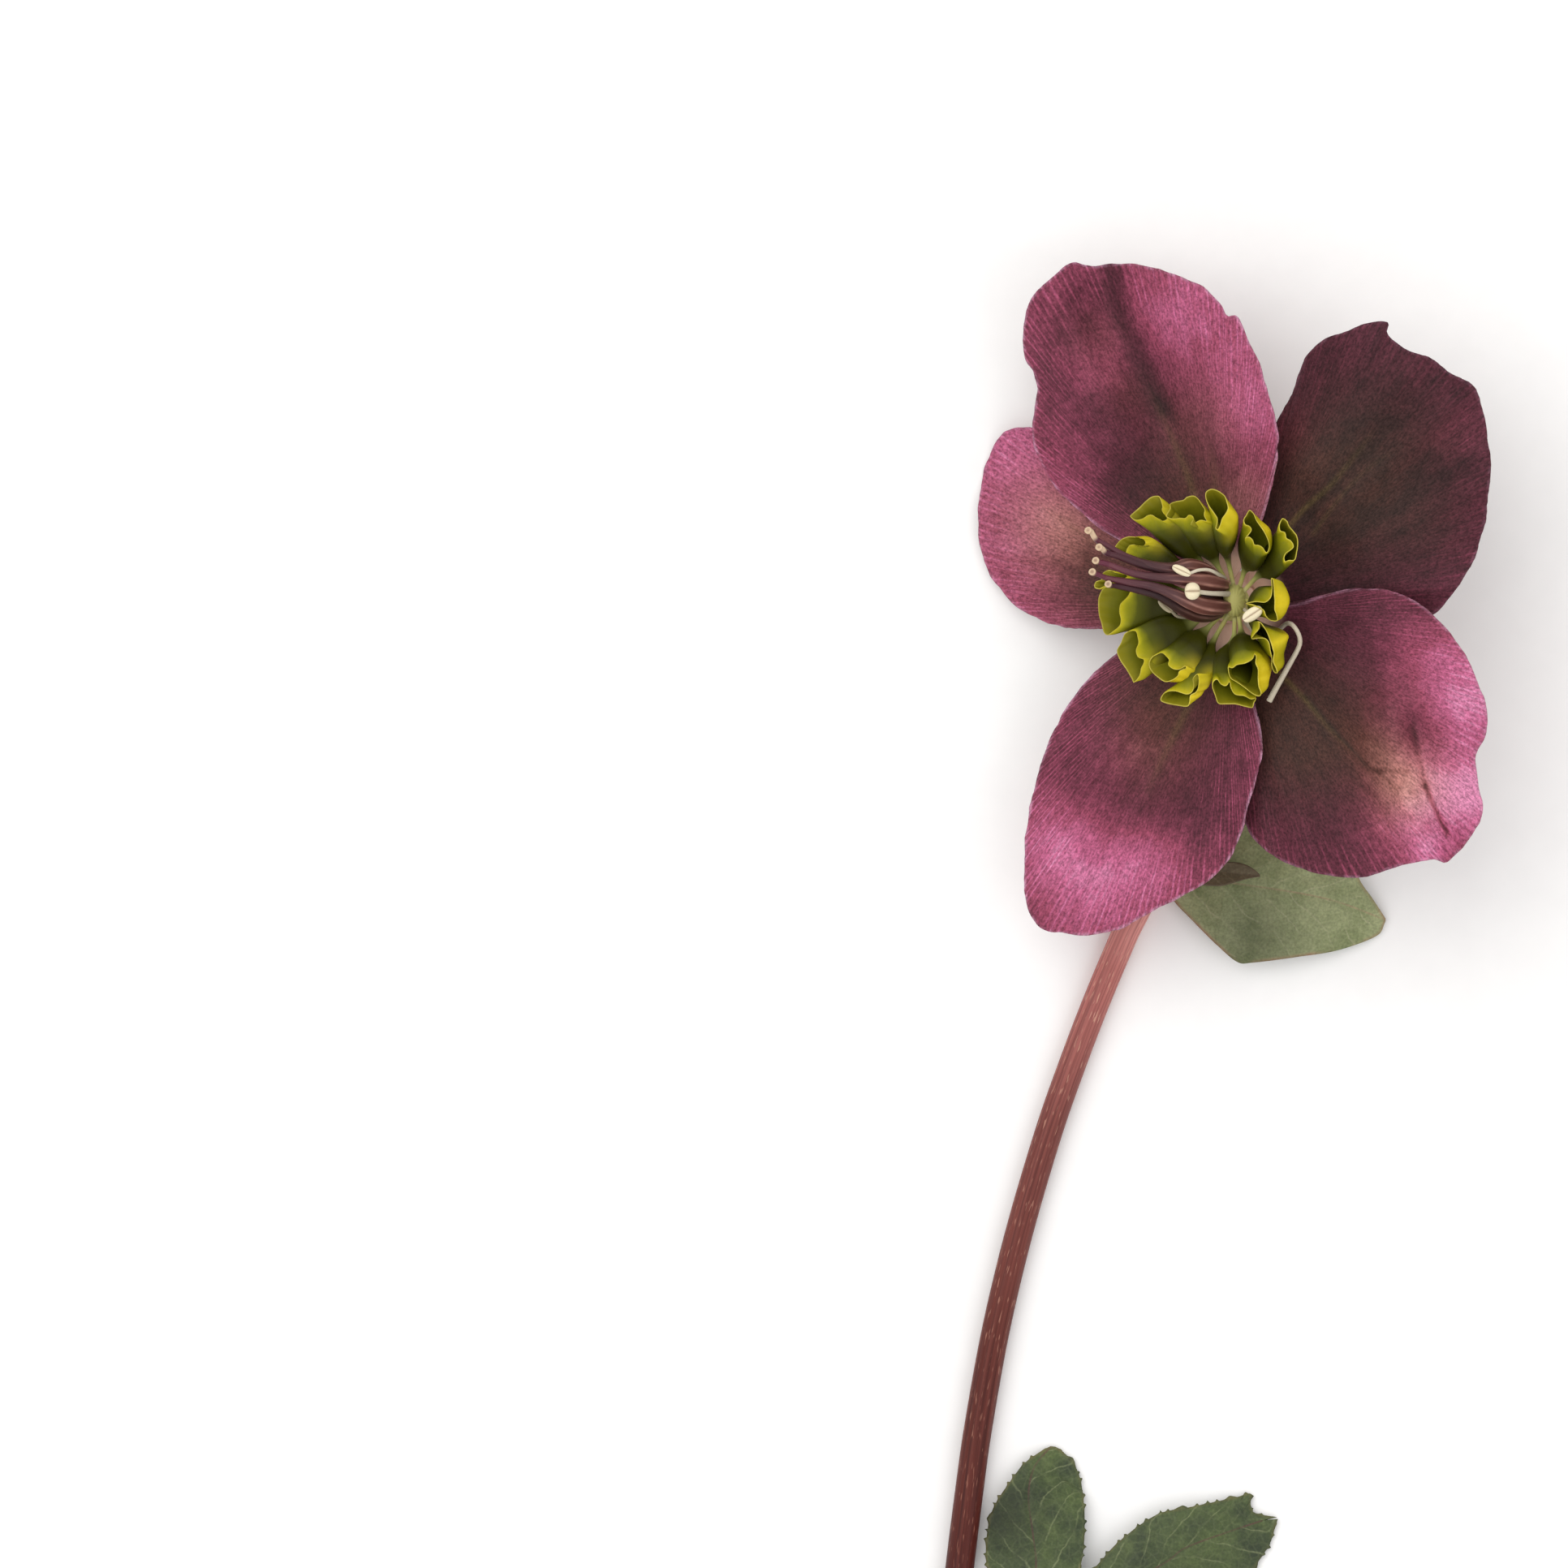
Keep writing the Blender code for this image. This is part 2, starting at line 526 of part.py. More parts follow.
def fuse(name, things, holder):
    """One Boolean union of all the pieces, which then replace the parts they were made of."""
    first = things[0]
    others = new_collection("pieces of " + name)
    for thing in things[1:]:
        holder.objects.unlink(thing)
        others.objects.link(thing)
    join = first.modifiers.new("join", "BOOLEAN")
    join.operation = "UNION"
    join.solver = "EXACT"
    join.operand_type = "COLLECTION"
    join.collection = others
    apply_modifiers(first)
    for thing in list(others.objects):
        bpy.data.objects.remove(thing, do_unlink=True)
    bpy.data.collections.remove(others)
    first.name = name
    first.data.name = name
    return first


def toothed(outline, first, last):
    """Adds forward-leaning teeth along the margin, between two shares of its length."""
    line = smooth_line(outline, closed=True, steps=10)
    length = line_length(np.vstack([line, line[:1]]))
    count = 2 * int(length / TOOTH)
    even = evenly(line, count, closed=True)
    middle = even.mean(axis=0)
    out = []
    for i, point in enumerate(even):
        share = i / count
        way = even[(i + 1) % count] - even[i - 1]
        side = np.array((-way[1], way[0])) / np.linalg.norm(way)
        if float(side @ (point - middle)) < 0.0:
            side = -side
        depth = TOOTH_DEPTH if first < share < last else 0.0
        out.append(point + side * depth * (0.5 if i % 2 else -0.5))
    return np.array(out)


def build():
    clear_scene()
    home = new_collection("hellebore_flower")
    cutters = new_collection("cutters")

    colours = {
        "sepal_top": ((0.36, 0.09, 0.17), 0.5),
        "sepal_upper_right": ((0.10, 0.030, 0.045), 0.5),
        "sepal_lower_right": ((0.20, 0.055, 0.09), 0.5),
        "sepal_bottom": ((0.30, 0.08, 0.16), 0.5),
        "sepal_left": ((0.33, 0.13, 0.15), 0.5),
        "nectaries": ((0.24, 0.28, 0.02), 0.4),
        "follicles": ((0.14, 0.045, 0.04), 0.45),
        "stem": ((0.20, 0.065, 0.055), 0.5),
        "bract_green": ((0.22, 0.24, 0.11), 0.5),
        "bract_dark": ((0.05, 0.03, 0.02), 0.5),
        "stem_leaf": ((0.15, 0.20, 0.08), 0.5),
    }
    paint = {name: material(name, *value) for name, value in colours.items()}

    for name, sepal in SEPALS.items():
        layer = sepal["layer"] * LAYER
        ends = [math.radians(sepal["angle"] + s * CLAW_HALF_ANGLE) for s in (1, 0.33, -0.33, -1)]
        claw = [from_bloom(CLAW_RADIUS * math.cos(a), CLAW_RADIUS * math.sin(a), layer)[:2]
                for a in ends]
        line = smooth_line([claw[0]] + sepal["outline"] + [claw[3]], steps=10)
        edge = evenly(line, int(line_length(line) / 2.1))
        edge = np.vstack([edge, np.array([claw[2], claw[1]])])
        blade(name, edge, lambda plan, s=sepal: sepal_height(s, plan), 2.9, SEPAL_THICK, home,
              paint[name])

    green = paint["nectaries"]
    profile = [(-2.5, 1.5), (-2.2, 2.1), (-1.0, RECEPTACLE_RADIUS), (1.5, RECEPTACLE_RADIUS),
               (2.3, 2.35), (2.7, 2.1), (3.0, 1.5), (3.1, 0.7)]
    rings = [
        [from_bloom(r * math.cos(a), r * math.sin(a), h)
         for a in (2 * math.pi * k / 18 for k in range(18))]
        for h, r in profile
    ]
    parts = [loft("receptacle", rings, home, green)]
    for index in range(len(NECTARIES)):
        parts.append(nectary(index, home, green))
    for index, (points, middle, length, width, way) in enumerate(STAMENS):
        line = evenly(smooth_line(points + [middle]), 9)
        parts.append(tube("filament_%d" % index, line, [0.4, 0.34, 0.3], 7, home, green,
                          start=(0.0, 1.0, 0.2)))
        parts.append(bean("anther_%d" % index, middle, length, width, way, 9, home, green))
    line = evenly(smooth_line(BARE_FILAMENT), 20)
    parts.append(tube("bare_filament", line, [0.42, 0.38, 0.38, 0.34], 7, home, green,
                      start=(0.0, 1.0, 0.2)))
    shade(fuse("nectaries", parts, home), 60.0)

    brown = paint["follicles"]
    hub_rings = [
        [from_bloom(0.2 + r * math.cos(a), 0.35 + 1.15 * r * math.sin(a), h)
         for a in (2 * math.pi * k / 14 for k in range(14))]
        for h, r in ((3.45, 1.1), (3.7, 1.5), (4.3, 1.6), (4.9, 1.2), (5.1, 0.6))
    ]
    pods = [loft("hub", hub_rings, home, brown)]
    for index, (base, shoulder, style, tip) in enumerate(FOLLICLES):
        base, shoulder, style, tip = (np.array(v) for v in (base, shoulder, style, tip))
        hook = tip + np.array((-0.5, 0.35, 0.55))
        points = [base, base * 0.5 + shoulder * 0.5 + np.array((0.0, 0.0, 0.25)), shoulder, style,
                  tip, hook]
        line = evenly(smooth_line(points, steps=10), 16)
        sizes = [0.75, 1.0, 1.05, 0.95, 0.62, 0.44, 0.38, 0.36, 0.34, 0.4]
        pods.append(tube("follicle_%d" % index, line, sizes, 8, home, brown, start=(0.0, 1.0, 0.2)))
    shade(fuse("follicles", pods, home), 60.0)

    line = []
    for i, (x, y, z) in enumerate(STEM_LINE):
        radius = np.interp(y, [-130.8, 0.0], [STEM_FOOT / 2, STEM_TOP / 2])
        if i == 0:
            line.append(from_bloom(0.0, 0.0, -2.8))
            line.append(from_bloom(0.0, 0.0, -3.6))
            line.append(from_bloom(0.0, 0.0, -4.6))
        else:
            line.append((x, y, radius - FLAT_DEPTH if z is None else z))
    line = smooth_line(line, steps=12)
    neck_end = 6 * 12
    line = np.vstack([evenly(line[:neck_end + 1], 16), evenly(line[neck_end:], 25)[1:]])
    stem = tube("stem", line, [STEM_TOP / 2, STEM_FOOT / 2], STEM_SIDES, home, paint["stem"])
    bpy.context.view_layer.update()
    cutter_data = bpy.data.meshes.new("floor cutter")
    work = bmesh.new()
    bmesh.ops.create_cube(work, size=1.0)
    bmesh.ops.scale(work, vec=Vector((0.12, 0.2, 0.01)), verts=work.verts)
    bmesh.ops.translate(work, vec=Vector((PLAN_SHIFT[0] * MM, (PLAN_SHIFT[1] - 65.0) * MM, -0.005)),
                        verts=work.verts)
    work.to_mesh(cutter_data)
    work.free()
    cutter = bpy.data.objects.new("floor cutter", cutter_data)
    cutters.objects.link(cutter)
    cutter.hide_render = True
    cutter.display_type = "WIRE"
    cut = stem.modifiers.new("flat underside", "BOOLEAN")
    cut.operation = "DIFFERENCE"
    cut.solver = "EXACT"
    cut.object = cutter
    apply_modifiers(stem)
    shade(stem, 40.0)

    edge = evenly(smooth_line(BRACT_GREEN, closed=True, steps=8), 46, closed=True)
    blade("bract_green", edge,
          lambda plan: rib_height(BRACT_GREEN_RIB, BRACT_GREEN_RISE, 0.045, plan),
          2.6, BRACT_THICK, home, paint["bract_green"])
    edge = evenly(smooth_line(BRACT_DARK, closed=True, steps=8), 22, closed=True)
    blade("bract_dark", edge,
          lambda plan: np.interp(plan[:, 0], [-7.6, -4.0, 3.2], [3.6, 5.9, 7.4])
          + 0.12 * (plan[:, 1] + 32.3) ** 2,
          1.5, BRACT_THICK, home, paint["bract_dark"])

    leaf_paint = paint["stem_leaf"]
    leaflets = [
        blade("leaflet_a", toothed(LEAFLET_A, 0.06, 0.94),
              lambda plan: rib_height(LEAFLET_A_RIB, LEAFLET_A_RISE, 0.07, plan), 2.3, BRACT_THICK,
              home, leaf_paint),
        blade("leaflet_b", toothed(LEAFLET_B, 0.06, 0.94),
              lambda plan: rib_height(LEAFLET_B_RIB, LEAFLET_B_RISE, 0.05, plan), 2.6, BRACT_THICK,
              home, leaf_paint),
    ]
    stalk = smooth_line([(-31.55, -125.6, 1.7), (-30.2, -125.3, 1.8), (-28.6, -124.4, 2.0)])
    leaflets.append(tube("leaf_stalk", evenly(stalk, 7), [0.9, 0.95, 0.6], 10, home, leaf_paint))
    shade(fuse("stem_leaf", leaflets, home), 50.0)


build()
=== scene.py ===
"""Looks of the hellebore flower: velvety sepals, waxy nectaries, follicles, stem, bracts and leaf."""

import math
import random

import bpy
import numpy as np
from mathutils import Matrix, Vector


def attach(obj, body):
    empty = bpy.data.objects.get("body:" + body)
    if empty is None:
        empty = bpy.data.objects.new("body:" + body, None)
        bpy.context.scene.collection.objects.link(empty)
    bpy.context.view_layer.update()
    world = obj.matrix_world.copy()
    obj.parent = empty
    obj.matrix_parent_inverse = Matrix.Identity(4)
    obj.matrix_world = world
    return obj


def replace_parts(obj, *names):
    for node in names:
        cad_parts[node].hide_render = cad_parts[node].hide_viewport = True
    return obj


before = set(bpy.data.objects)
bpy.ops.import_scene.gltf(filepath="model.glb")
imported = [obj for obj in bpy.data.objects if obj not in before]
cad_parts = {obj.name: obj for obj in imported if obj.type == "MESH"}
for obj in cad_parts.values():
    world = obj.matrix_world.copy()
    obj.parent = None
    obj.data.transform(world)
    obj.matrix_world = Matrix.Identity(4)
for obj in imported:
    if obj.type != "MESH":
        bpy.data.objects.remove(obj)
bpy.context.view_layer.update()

# Sizes are in millimetres in the plan of the bloom: x to the right, y from the cut foot to the
# bloom, z up from the floor. Positions are taken from the middle of the bloom, which lies at
# BLOOM_MIDDLE in the frame.
MM = 0.001
BLOOM_MIDDLE = (2.71, 45.14)

# The picture: how much of the floor it spans and where its middle is. The long lens keeps the
# raised bloom from spreading, and the span is true at SHARP_HEIGHT over the floor.
PHOTO_WIDTH = 187.6
PHOTO_MIDDLE = (-53.9, -21.7)
SHARP_HEIGHT = 16.0
LENS = 1500.0
SENSOR = 36.0

# The studio, in metres: each lamp's place, target, size, power and colour.
LAMPS = {
    "key": ((-0.48, 0.46, 1.1), (0.0, 0.03, 0.0), 1.3, 5.7, (1.0, 0.985, 0.96)),
    "fill": ((0.6, -0.3, 0.8), (0.0, 0.0, 0.0), 0.8, 1.2, (0.97, 0.98, 1.0)),
}
ROOM_LIGHT = 0.91
FLOOR_HALF = 1.6
FAR_CLIP = 20.0

# The bloom leans to the left by TILT, its receptacle's middle is at BLOOM_Z, and its sepals lie in
# three layers that are LAYER apart. Each sepal's claw ends on a circle round the axis.
TILT = math.radians(25.0)
SIN_T = math.sin(TILT)
COS_T = math.cos(TILT)
BLOOM_Z = 16.4
LAYER = 1.4
CLAW_RADIUS = 2.5
CLAW_HALF_ANGLE = 27.0

# The sepals. angle: where the claw stands round the axis, in degrees. layer: which layer it lies in.
# cup: half of what it rises at SEPAL_LENGTH from the axis. outline: its margin, clockwise from claw
# to claw. shoulders: the points of it where the sides end and the outer margin begins. folds:
# (line, height, width). ground and rim_pink: how pink it is all over, and how much more at the rim.
# blush_and_painted_shading and brown: soft spots (x, y, reach, amount). The pink spots hold the
# sepal's own pink and also painted light and shade: lighter on flanks that face the key light,
# along the lower right sepal's raised fold and where a neighbouring sepal shades it, and on the
# bottom sepal lighter low down than above. crease_shade and olive: soft lines (line, width,
# amount); the crease lines darken the pink along the valley folds, as painted shade. claw_reach:
# how far from the axis the pale claw shows. pale_rim: how pale its rim is.
SEPALS = {
    "sepal_top": {
        "angle": 108.0,
        "layer": 1,
        "cup": 1.6,
        "outline": [
            (-8.0, 4.4), (-14.7, 8.1), (-17.6, 10.2), (-21.0, 13.4), (-22.9, 16.3), (-24.0, 19.2),
            (-24.1, 21.7), (-23.5, 25.5), (-24.0, 27.5), (-25.0, 29.4), (-25.2, 32.8), (-24.4, 36.2),
            (-22.4, 38.4), (-19.5, 40.7), (-17.1, 40.3), (-12.7, 40.6), (-7.9, 39.5), (-4.0, 37.8),
            (-1.6, 35.6), (-0.9, 34.2), (0.3, 34.2), (1.6, 31.4), (2.8, 28.9), (3.8, 25.7),
            (4.9, 21.7), (5.2, 19.2), (4.8, 15.8), (3.9, 12.1), (2.2, 6.8),
        ],
        "shoulders": (1, 27),
        "folds": [
            ([(-15.4, 42.0), (-13.7, 35.2), (-11.7, 30.4), (-7.9, 21.7), (-4.5, 12.0)], -2.4, 4.6),
            ([(-22.0, 37.0), (-19.5, 27.0), (-15.5, 19.0)], 1.5, 4.0),
            ([(-26.0, 24.8), (-20.5, 25.4)], -1.0, 2.6),
            ([(-4.0, 38.0), (-1.6, 30.0), (0.4, 22.0)], 1.2, 4.5),
        ],
        "ground": 0.25,
        "rim_pink": 0.14,
        "blush_and_painted_shading": [(-8.0, 34.5, 5.5, 0.3), (-2.0, 30.0, 7.0, 0.17), (1.5, 23.0, 5.5, 0.24),
                  (-19.0, 16.0, 5.0, 0.1), (-16.5, 28.0, 3.5, 0.19), (-12.0, 14.5, 4.5, -0.2),
                  (1.5, 12.5, 4.0, 0.16), (-22.5, 27.0, 3.0, -0.06)],
        "brown": [(-6.0, 12.5, 6.5, 0.8), (-5.5, 21.5, 4.5, 0.4), (1.5, 11.5, 4.5, 0.45),
                  (-12.5, 25.0, 3.5, 0.35), (-16.5, 32.0, 3.6, 0.28)],
        "crease_shade": [([(-15.0, 41.0), (-13.7, 35.2), (-11.7, 30.4), (-8.5, 23.0)], 1.3, -0.26)],
        "olive": [([(-4.3, 11.5), (-5.6, 15.5), (-8.0, 21.0), (-10.5, 26.0)], 0.5, 0.3),
                  ([(-2.5, 11.0), (-2.2, 15.0), (-3.0, 20.0)], 0.6, 0.25)],
        "claw_reach": 5.3,
        "pale_rim": 0.8,
    },
    "sepal_upper_right": {
        "angle": 36.0,
        "layer": -1,
        "cup": -0.6,
        "outline": [
            (2.2, 6.0), (3.5, 13.9), (4.4, 19.2), (5.2, 21.9), (6.7, 24.6), (8.0, 28.0), (8.7, 29.8),
            (11.1, 31.6), (13.5, 32.5), (15.6, 33.3), (18.3, 33.5), (18.3, 32.1), (20.3, 30.3),
            (23.2, 29.3), (25.6, 27.5), (28.4, 25.9), (29.5, 23.3), (30.2, 19.2), (30.5, 17.3),
            (30.3, 13.4), (29.7, 9.0), (28.3, 4.7), (25.6, 0.5), (23.6, -1.5), (20.8, -3.1),
            (16.4, -4.1), (10.6, -3.4), (5.7, -1.7),
        ],
        "shoulders": (1, 26),
        "folds": [
            ([(4.0, 3.0), (12.0, 11.5), (20.0, 19.5), (26.0, 25.5)], -1.3, 3.6),
            ([(9.0, 17.0), (13.0, 24.0), (15.0, 31.0)], 0.9, 3.6),
            ([(15.0, 8.0), (23.0, 13.0), (29.0, 17.0)], 1.0, 4.2),
        ],
        "ground": 0.05,
        "rim_pink": 0.07,
        "blush_and_painted_shading": [(13.0, 29.0, 5.0, 0.04), (27.0, 20.0, 4.0, 0.14), (28.0, 9.0, 4.0, 0.05),
                  (20.0, 2.0, 5.0, 0.06), (6.5, 19.5, 3.5, 0.11),
                  (25.0, 2.0, 4.0, 0.06)],
        "brown": [(16.0, 17.0, 9.5, 0.8), (9.0, 11.0, 8.0, 0.85), (22.0, 9.0, 5.0, 0.25)],
        "crease_shade": [([(4.0, 5.0), (12.0, 14.5), (19.0, 21.0)], 0.8, -0.06),
                    ([(13.0, 8.0), (21.0, 12.5), (28.0, 17.0)], 1.0, -0.07)],
        "olive": [([(5.8, 8.2), (8.3, 11.2), (11.4, 14.0), (14.2, 17.4), (17.2, 21.3)], 0.35, 0.42),
                  ([(9.5, 8.2), (13.0, 13.0), (16.0, 16.0), (20.5, 19.0)], 0.3, 0.16)],
        "claw_reach": 4.3,
        "pale_rim": 0.15,
    },
    "sepal_lower_right": {
        "angle": -36.0,
        "layer": 0,
        "cup": 0.5,
        "outline": [
            (3.6, -0.7), (7.7, -0.2), (11.6, 1.1), (15.4, 1.7), (18.8, 1.3), (21.8, 0.0),
            (24.2, -2.1), (26.6, -4.9), (28.5, -8.5), (29.6, -11.4), (30.1, -13.8), (29.8, -16.2),
            (28.7, -18.2), (29.0, -21.6), (29.5, -24.8), (28.7, -27.1), (26.6, -29.8),
            (25.2, -31.1), (23.5, -30.7), (19.3, -31.6), (16.4, -32.6), (13.5, -32.9),
            (9.6, -32.3), (5.7, -30.9), (2.8, -28.8), (1.2, -26.2), (-0.1, -22.5), (-1.1, -18.2),
            (-1.3, -13.3), (-0.9, -8.4), (0.3, -4.6),
        ],
        "shoulders": (1, 28),
        "folds": [
            ([(21.5, -14.5), (22.3, -19.5), (23.6, -24.0), (27.0, -31.5)], -1.25, 1.9),
            ([(18.5, -13.0), (19.5, -20.0), (21.0, -26.0), (22.5, -31.5)], 1.7, 2.6),
            ([(6.0, -7.0), (11.5, -14.3), (15.9, -19.1), (19.0, -21.0)], -1.0, 2.6),
            ([(31.0, -17.9), (25.5, -16.5)], -1.0, 2.2),
            ([(27.5, -9.0), (23.0, -6.0), (16.0, -2.5)], 0.9, 3.4),
        ],
        "ground": 0.1,
        "rim_pink": 0.14,
        "blush_and_painted_shading": [(17.0, -2.0, 5.0, 0.1), (25.0, -6.5, 4.5, 0.28), (27.5, -12.5, 5.0, 0.62),
                  (27.0, -23.0, 5.0, 0.8), (23.5, -29.5, 3.0, 0.5), (21.3, -19.8, 2.8, 0.38),
                  (18.6, -21.5, 3.4, 0.24), (21.8, -24.4, 3.0, 0.4), (16.5, -17.0, 3.5, 0.12),
                  (8.6, -27.0, 5.0, 0.05), (18.5, -28.0, 3.5, 0.24), (20.8, -6.8, 4.2, 0.18),
                  (19.0, -12.0, 4.0, 0.2), (17.4, -17.2, 3.2, 0.12), (15.6, -25.2, 3.6, 0.12),
                  (14.5, 0.2, 3.5, -0.08)],
        "brown": [(5.0, -12.0, 7.5, 0.85), (8.0, -18.0, 7.0, 0.6), (14.5, -15.0, 6.0, 0.45),
                  (20.0, -21.8, 4.6, 0.95), (16.5, -17.5, 3.0, 0.3)],
        "crease_shade": [([(22.7, -21.8), (23.2, -23.0), (23.9, -24.6), (25.4, -27.6)], 0.35, -0.5),
                    ([(21.2, -15.0), (21.9, -18.4), (22.7, -21.8)], 0.5, -0.18),
                    ([(17.3, -20.2), (19.5, -22.4)], 0.25, -0.14),
                    ([(8.5, -11.2), (12.1, -15.5), (14.6, -18.0), (16.4, -19.9), (20.5, -20.2)],
                     0.25, -0.2)],
        "olive": [([(5.6, -8.6), (8.6, -11.8), (11.5, -15.3), (14.5, -18.3)], 0.35, 0.45)],
        "claw_reach": 4.3,
        "pale_rim": 0.5,
    },
    "sepal_bottom": {
        "angle": -108.0,
        "layer": 1,
        "cup": 1.2,
        "outline": [
            (0.6, -4.8), (1.8, -9.4), (2.5, -12.8), (3.2, -15.7), (3.3, -17.7), (2.6, -21.1),
            (1.7, -24.0), (0.7, -27.9), (-1.1, -31.3), (-3.5, -33.5), (-6.4, -35.2), (-9.8, -36.9),
            (-13.2, -38.8), (-16.6, -39.7), (-20.5, -39.6), (-23.4, -38.7), (-24.8, -36.1),
            (-25.1, -32.2), (-24.8, -26.9), (-23.6, -21.1), (-21.5, -15.2), (-18.1, -9.9),
            (-13.2, -5.5), (-6.9, -2.9),
        ],
        "shoulders": (1, 22),
        "folds": [
            ([(-4.0, -9.0), (-8.5, -19.0), (-12.5, -28.0), (-17.0, -38.0)], -1.2, 3.6),
            ([(1.0, -14.0), (-1.5, -24.0), (-6.0, -33.0)], 0.9, 3.6),
            ([(-15.0, -12.0), (-20.0, -24.0), (-22.5, -36.0)], 1.2, 4.0),
        ],
        "ground": 0.2,
        "rim_pink": 0.12,
        "blush_and_painted_shading": [(-17.5, -33.5, 6.5, 0.52), (-10.0, -31.0, 5.0, 0.34), (-21.5, -28.0, 5.0, 0.28),
                  (-9.2, -17.5, 5.0, 0.13), (-14.8, -18.5, 4.5, 0.12)],
        "brown": [(-8.0, -11.0, 6.5, 0.85), (-9.5, -18.5, 5.5, 0.45)],
        "crease_shade": [([(-4.0, -9.0), (-8.5, -19.0), (-12.5, -28.0)], 0.8, -0.06)],
        "olive": [([(-5.0, -11.5), (-8.0, -17.5), (-11.0, -24.0)], 0.5, 0.3)],
        "claw_reach": 5.0,
        "pale_rim": 1.0,
    },
    "sepal_left": {
        "angle": 180.0,
        "layer": -1,
        "cup": 0.02,
        "outline": [
            (-5.9, -2.0), (-11.7, -2.8), (-17.6, -3.1), (-21.5, -2.6), (-25.3, -0.9), (-28.4, 2.2),
            (-30.2, 6.1), (-30.6, 10.5), (-30.1, 14.9), (-29.2, 17.8), (-28.2, 19.7), (-26.8, 20.8),
            (-24.2, 21.0), (-21.0, 20.2), (-16.6, 17.3), (-11.7, 12.9), (-6.9, 7.6), (-3.8, 3.3),
        ],
        "shoulders": (1, 15),
        "folds": [
            ([(-5.0, 1.5), (-14.0, 6.0), (-22.0, 11.0), (-28.5, 16.0)], -0.9, 3.4),
            ([(-18.0, 0.0), (-25.0, 4.0), (-29.5, 9.0)], 0.8, 3.6),
        ],
        "ground": 0.44,
        "rim_pink": 0.08,
        "blush_and_painted_shading": [(-25.0, 18.0, 5.0, 0.22), (-27.0, 6.0, 5.0, 0.06), (-16.0, 1.5, 5.0, -0.26),
                  (-21.5, 10.0, 4.5, 0.3)],
        "brown": [(-21.0, 9.5, 6.5, 0.75), (-14.0, 3.0, 7.0, 0.8)],
        "crease_shade": [],
        "olive": [([(-13.0, 5.0), (-20.0, 9.5), (-25.5, 13.5)], 0.5, 0.25)],
        "claw_reach": 5.0,
        "pale_rim": 0.5,
    },
}

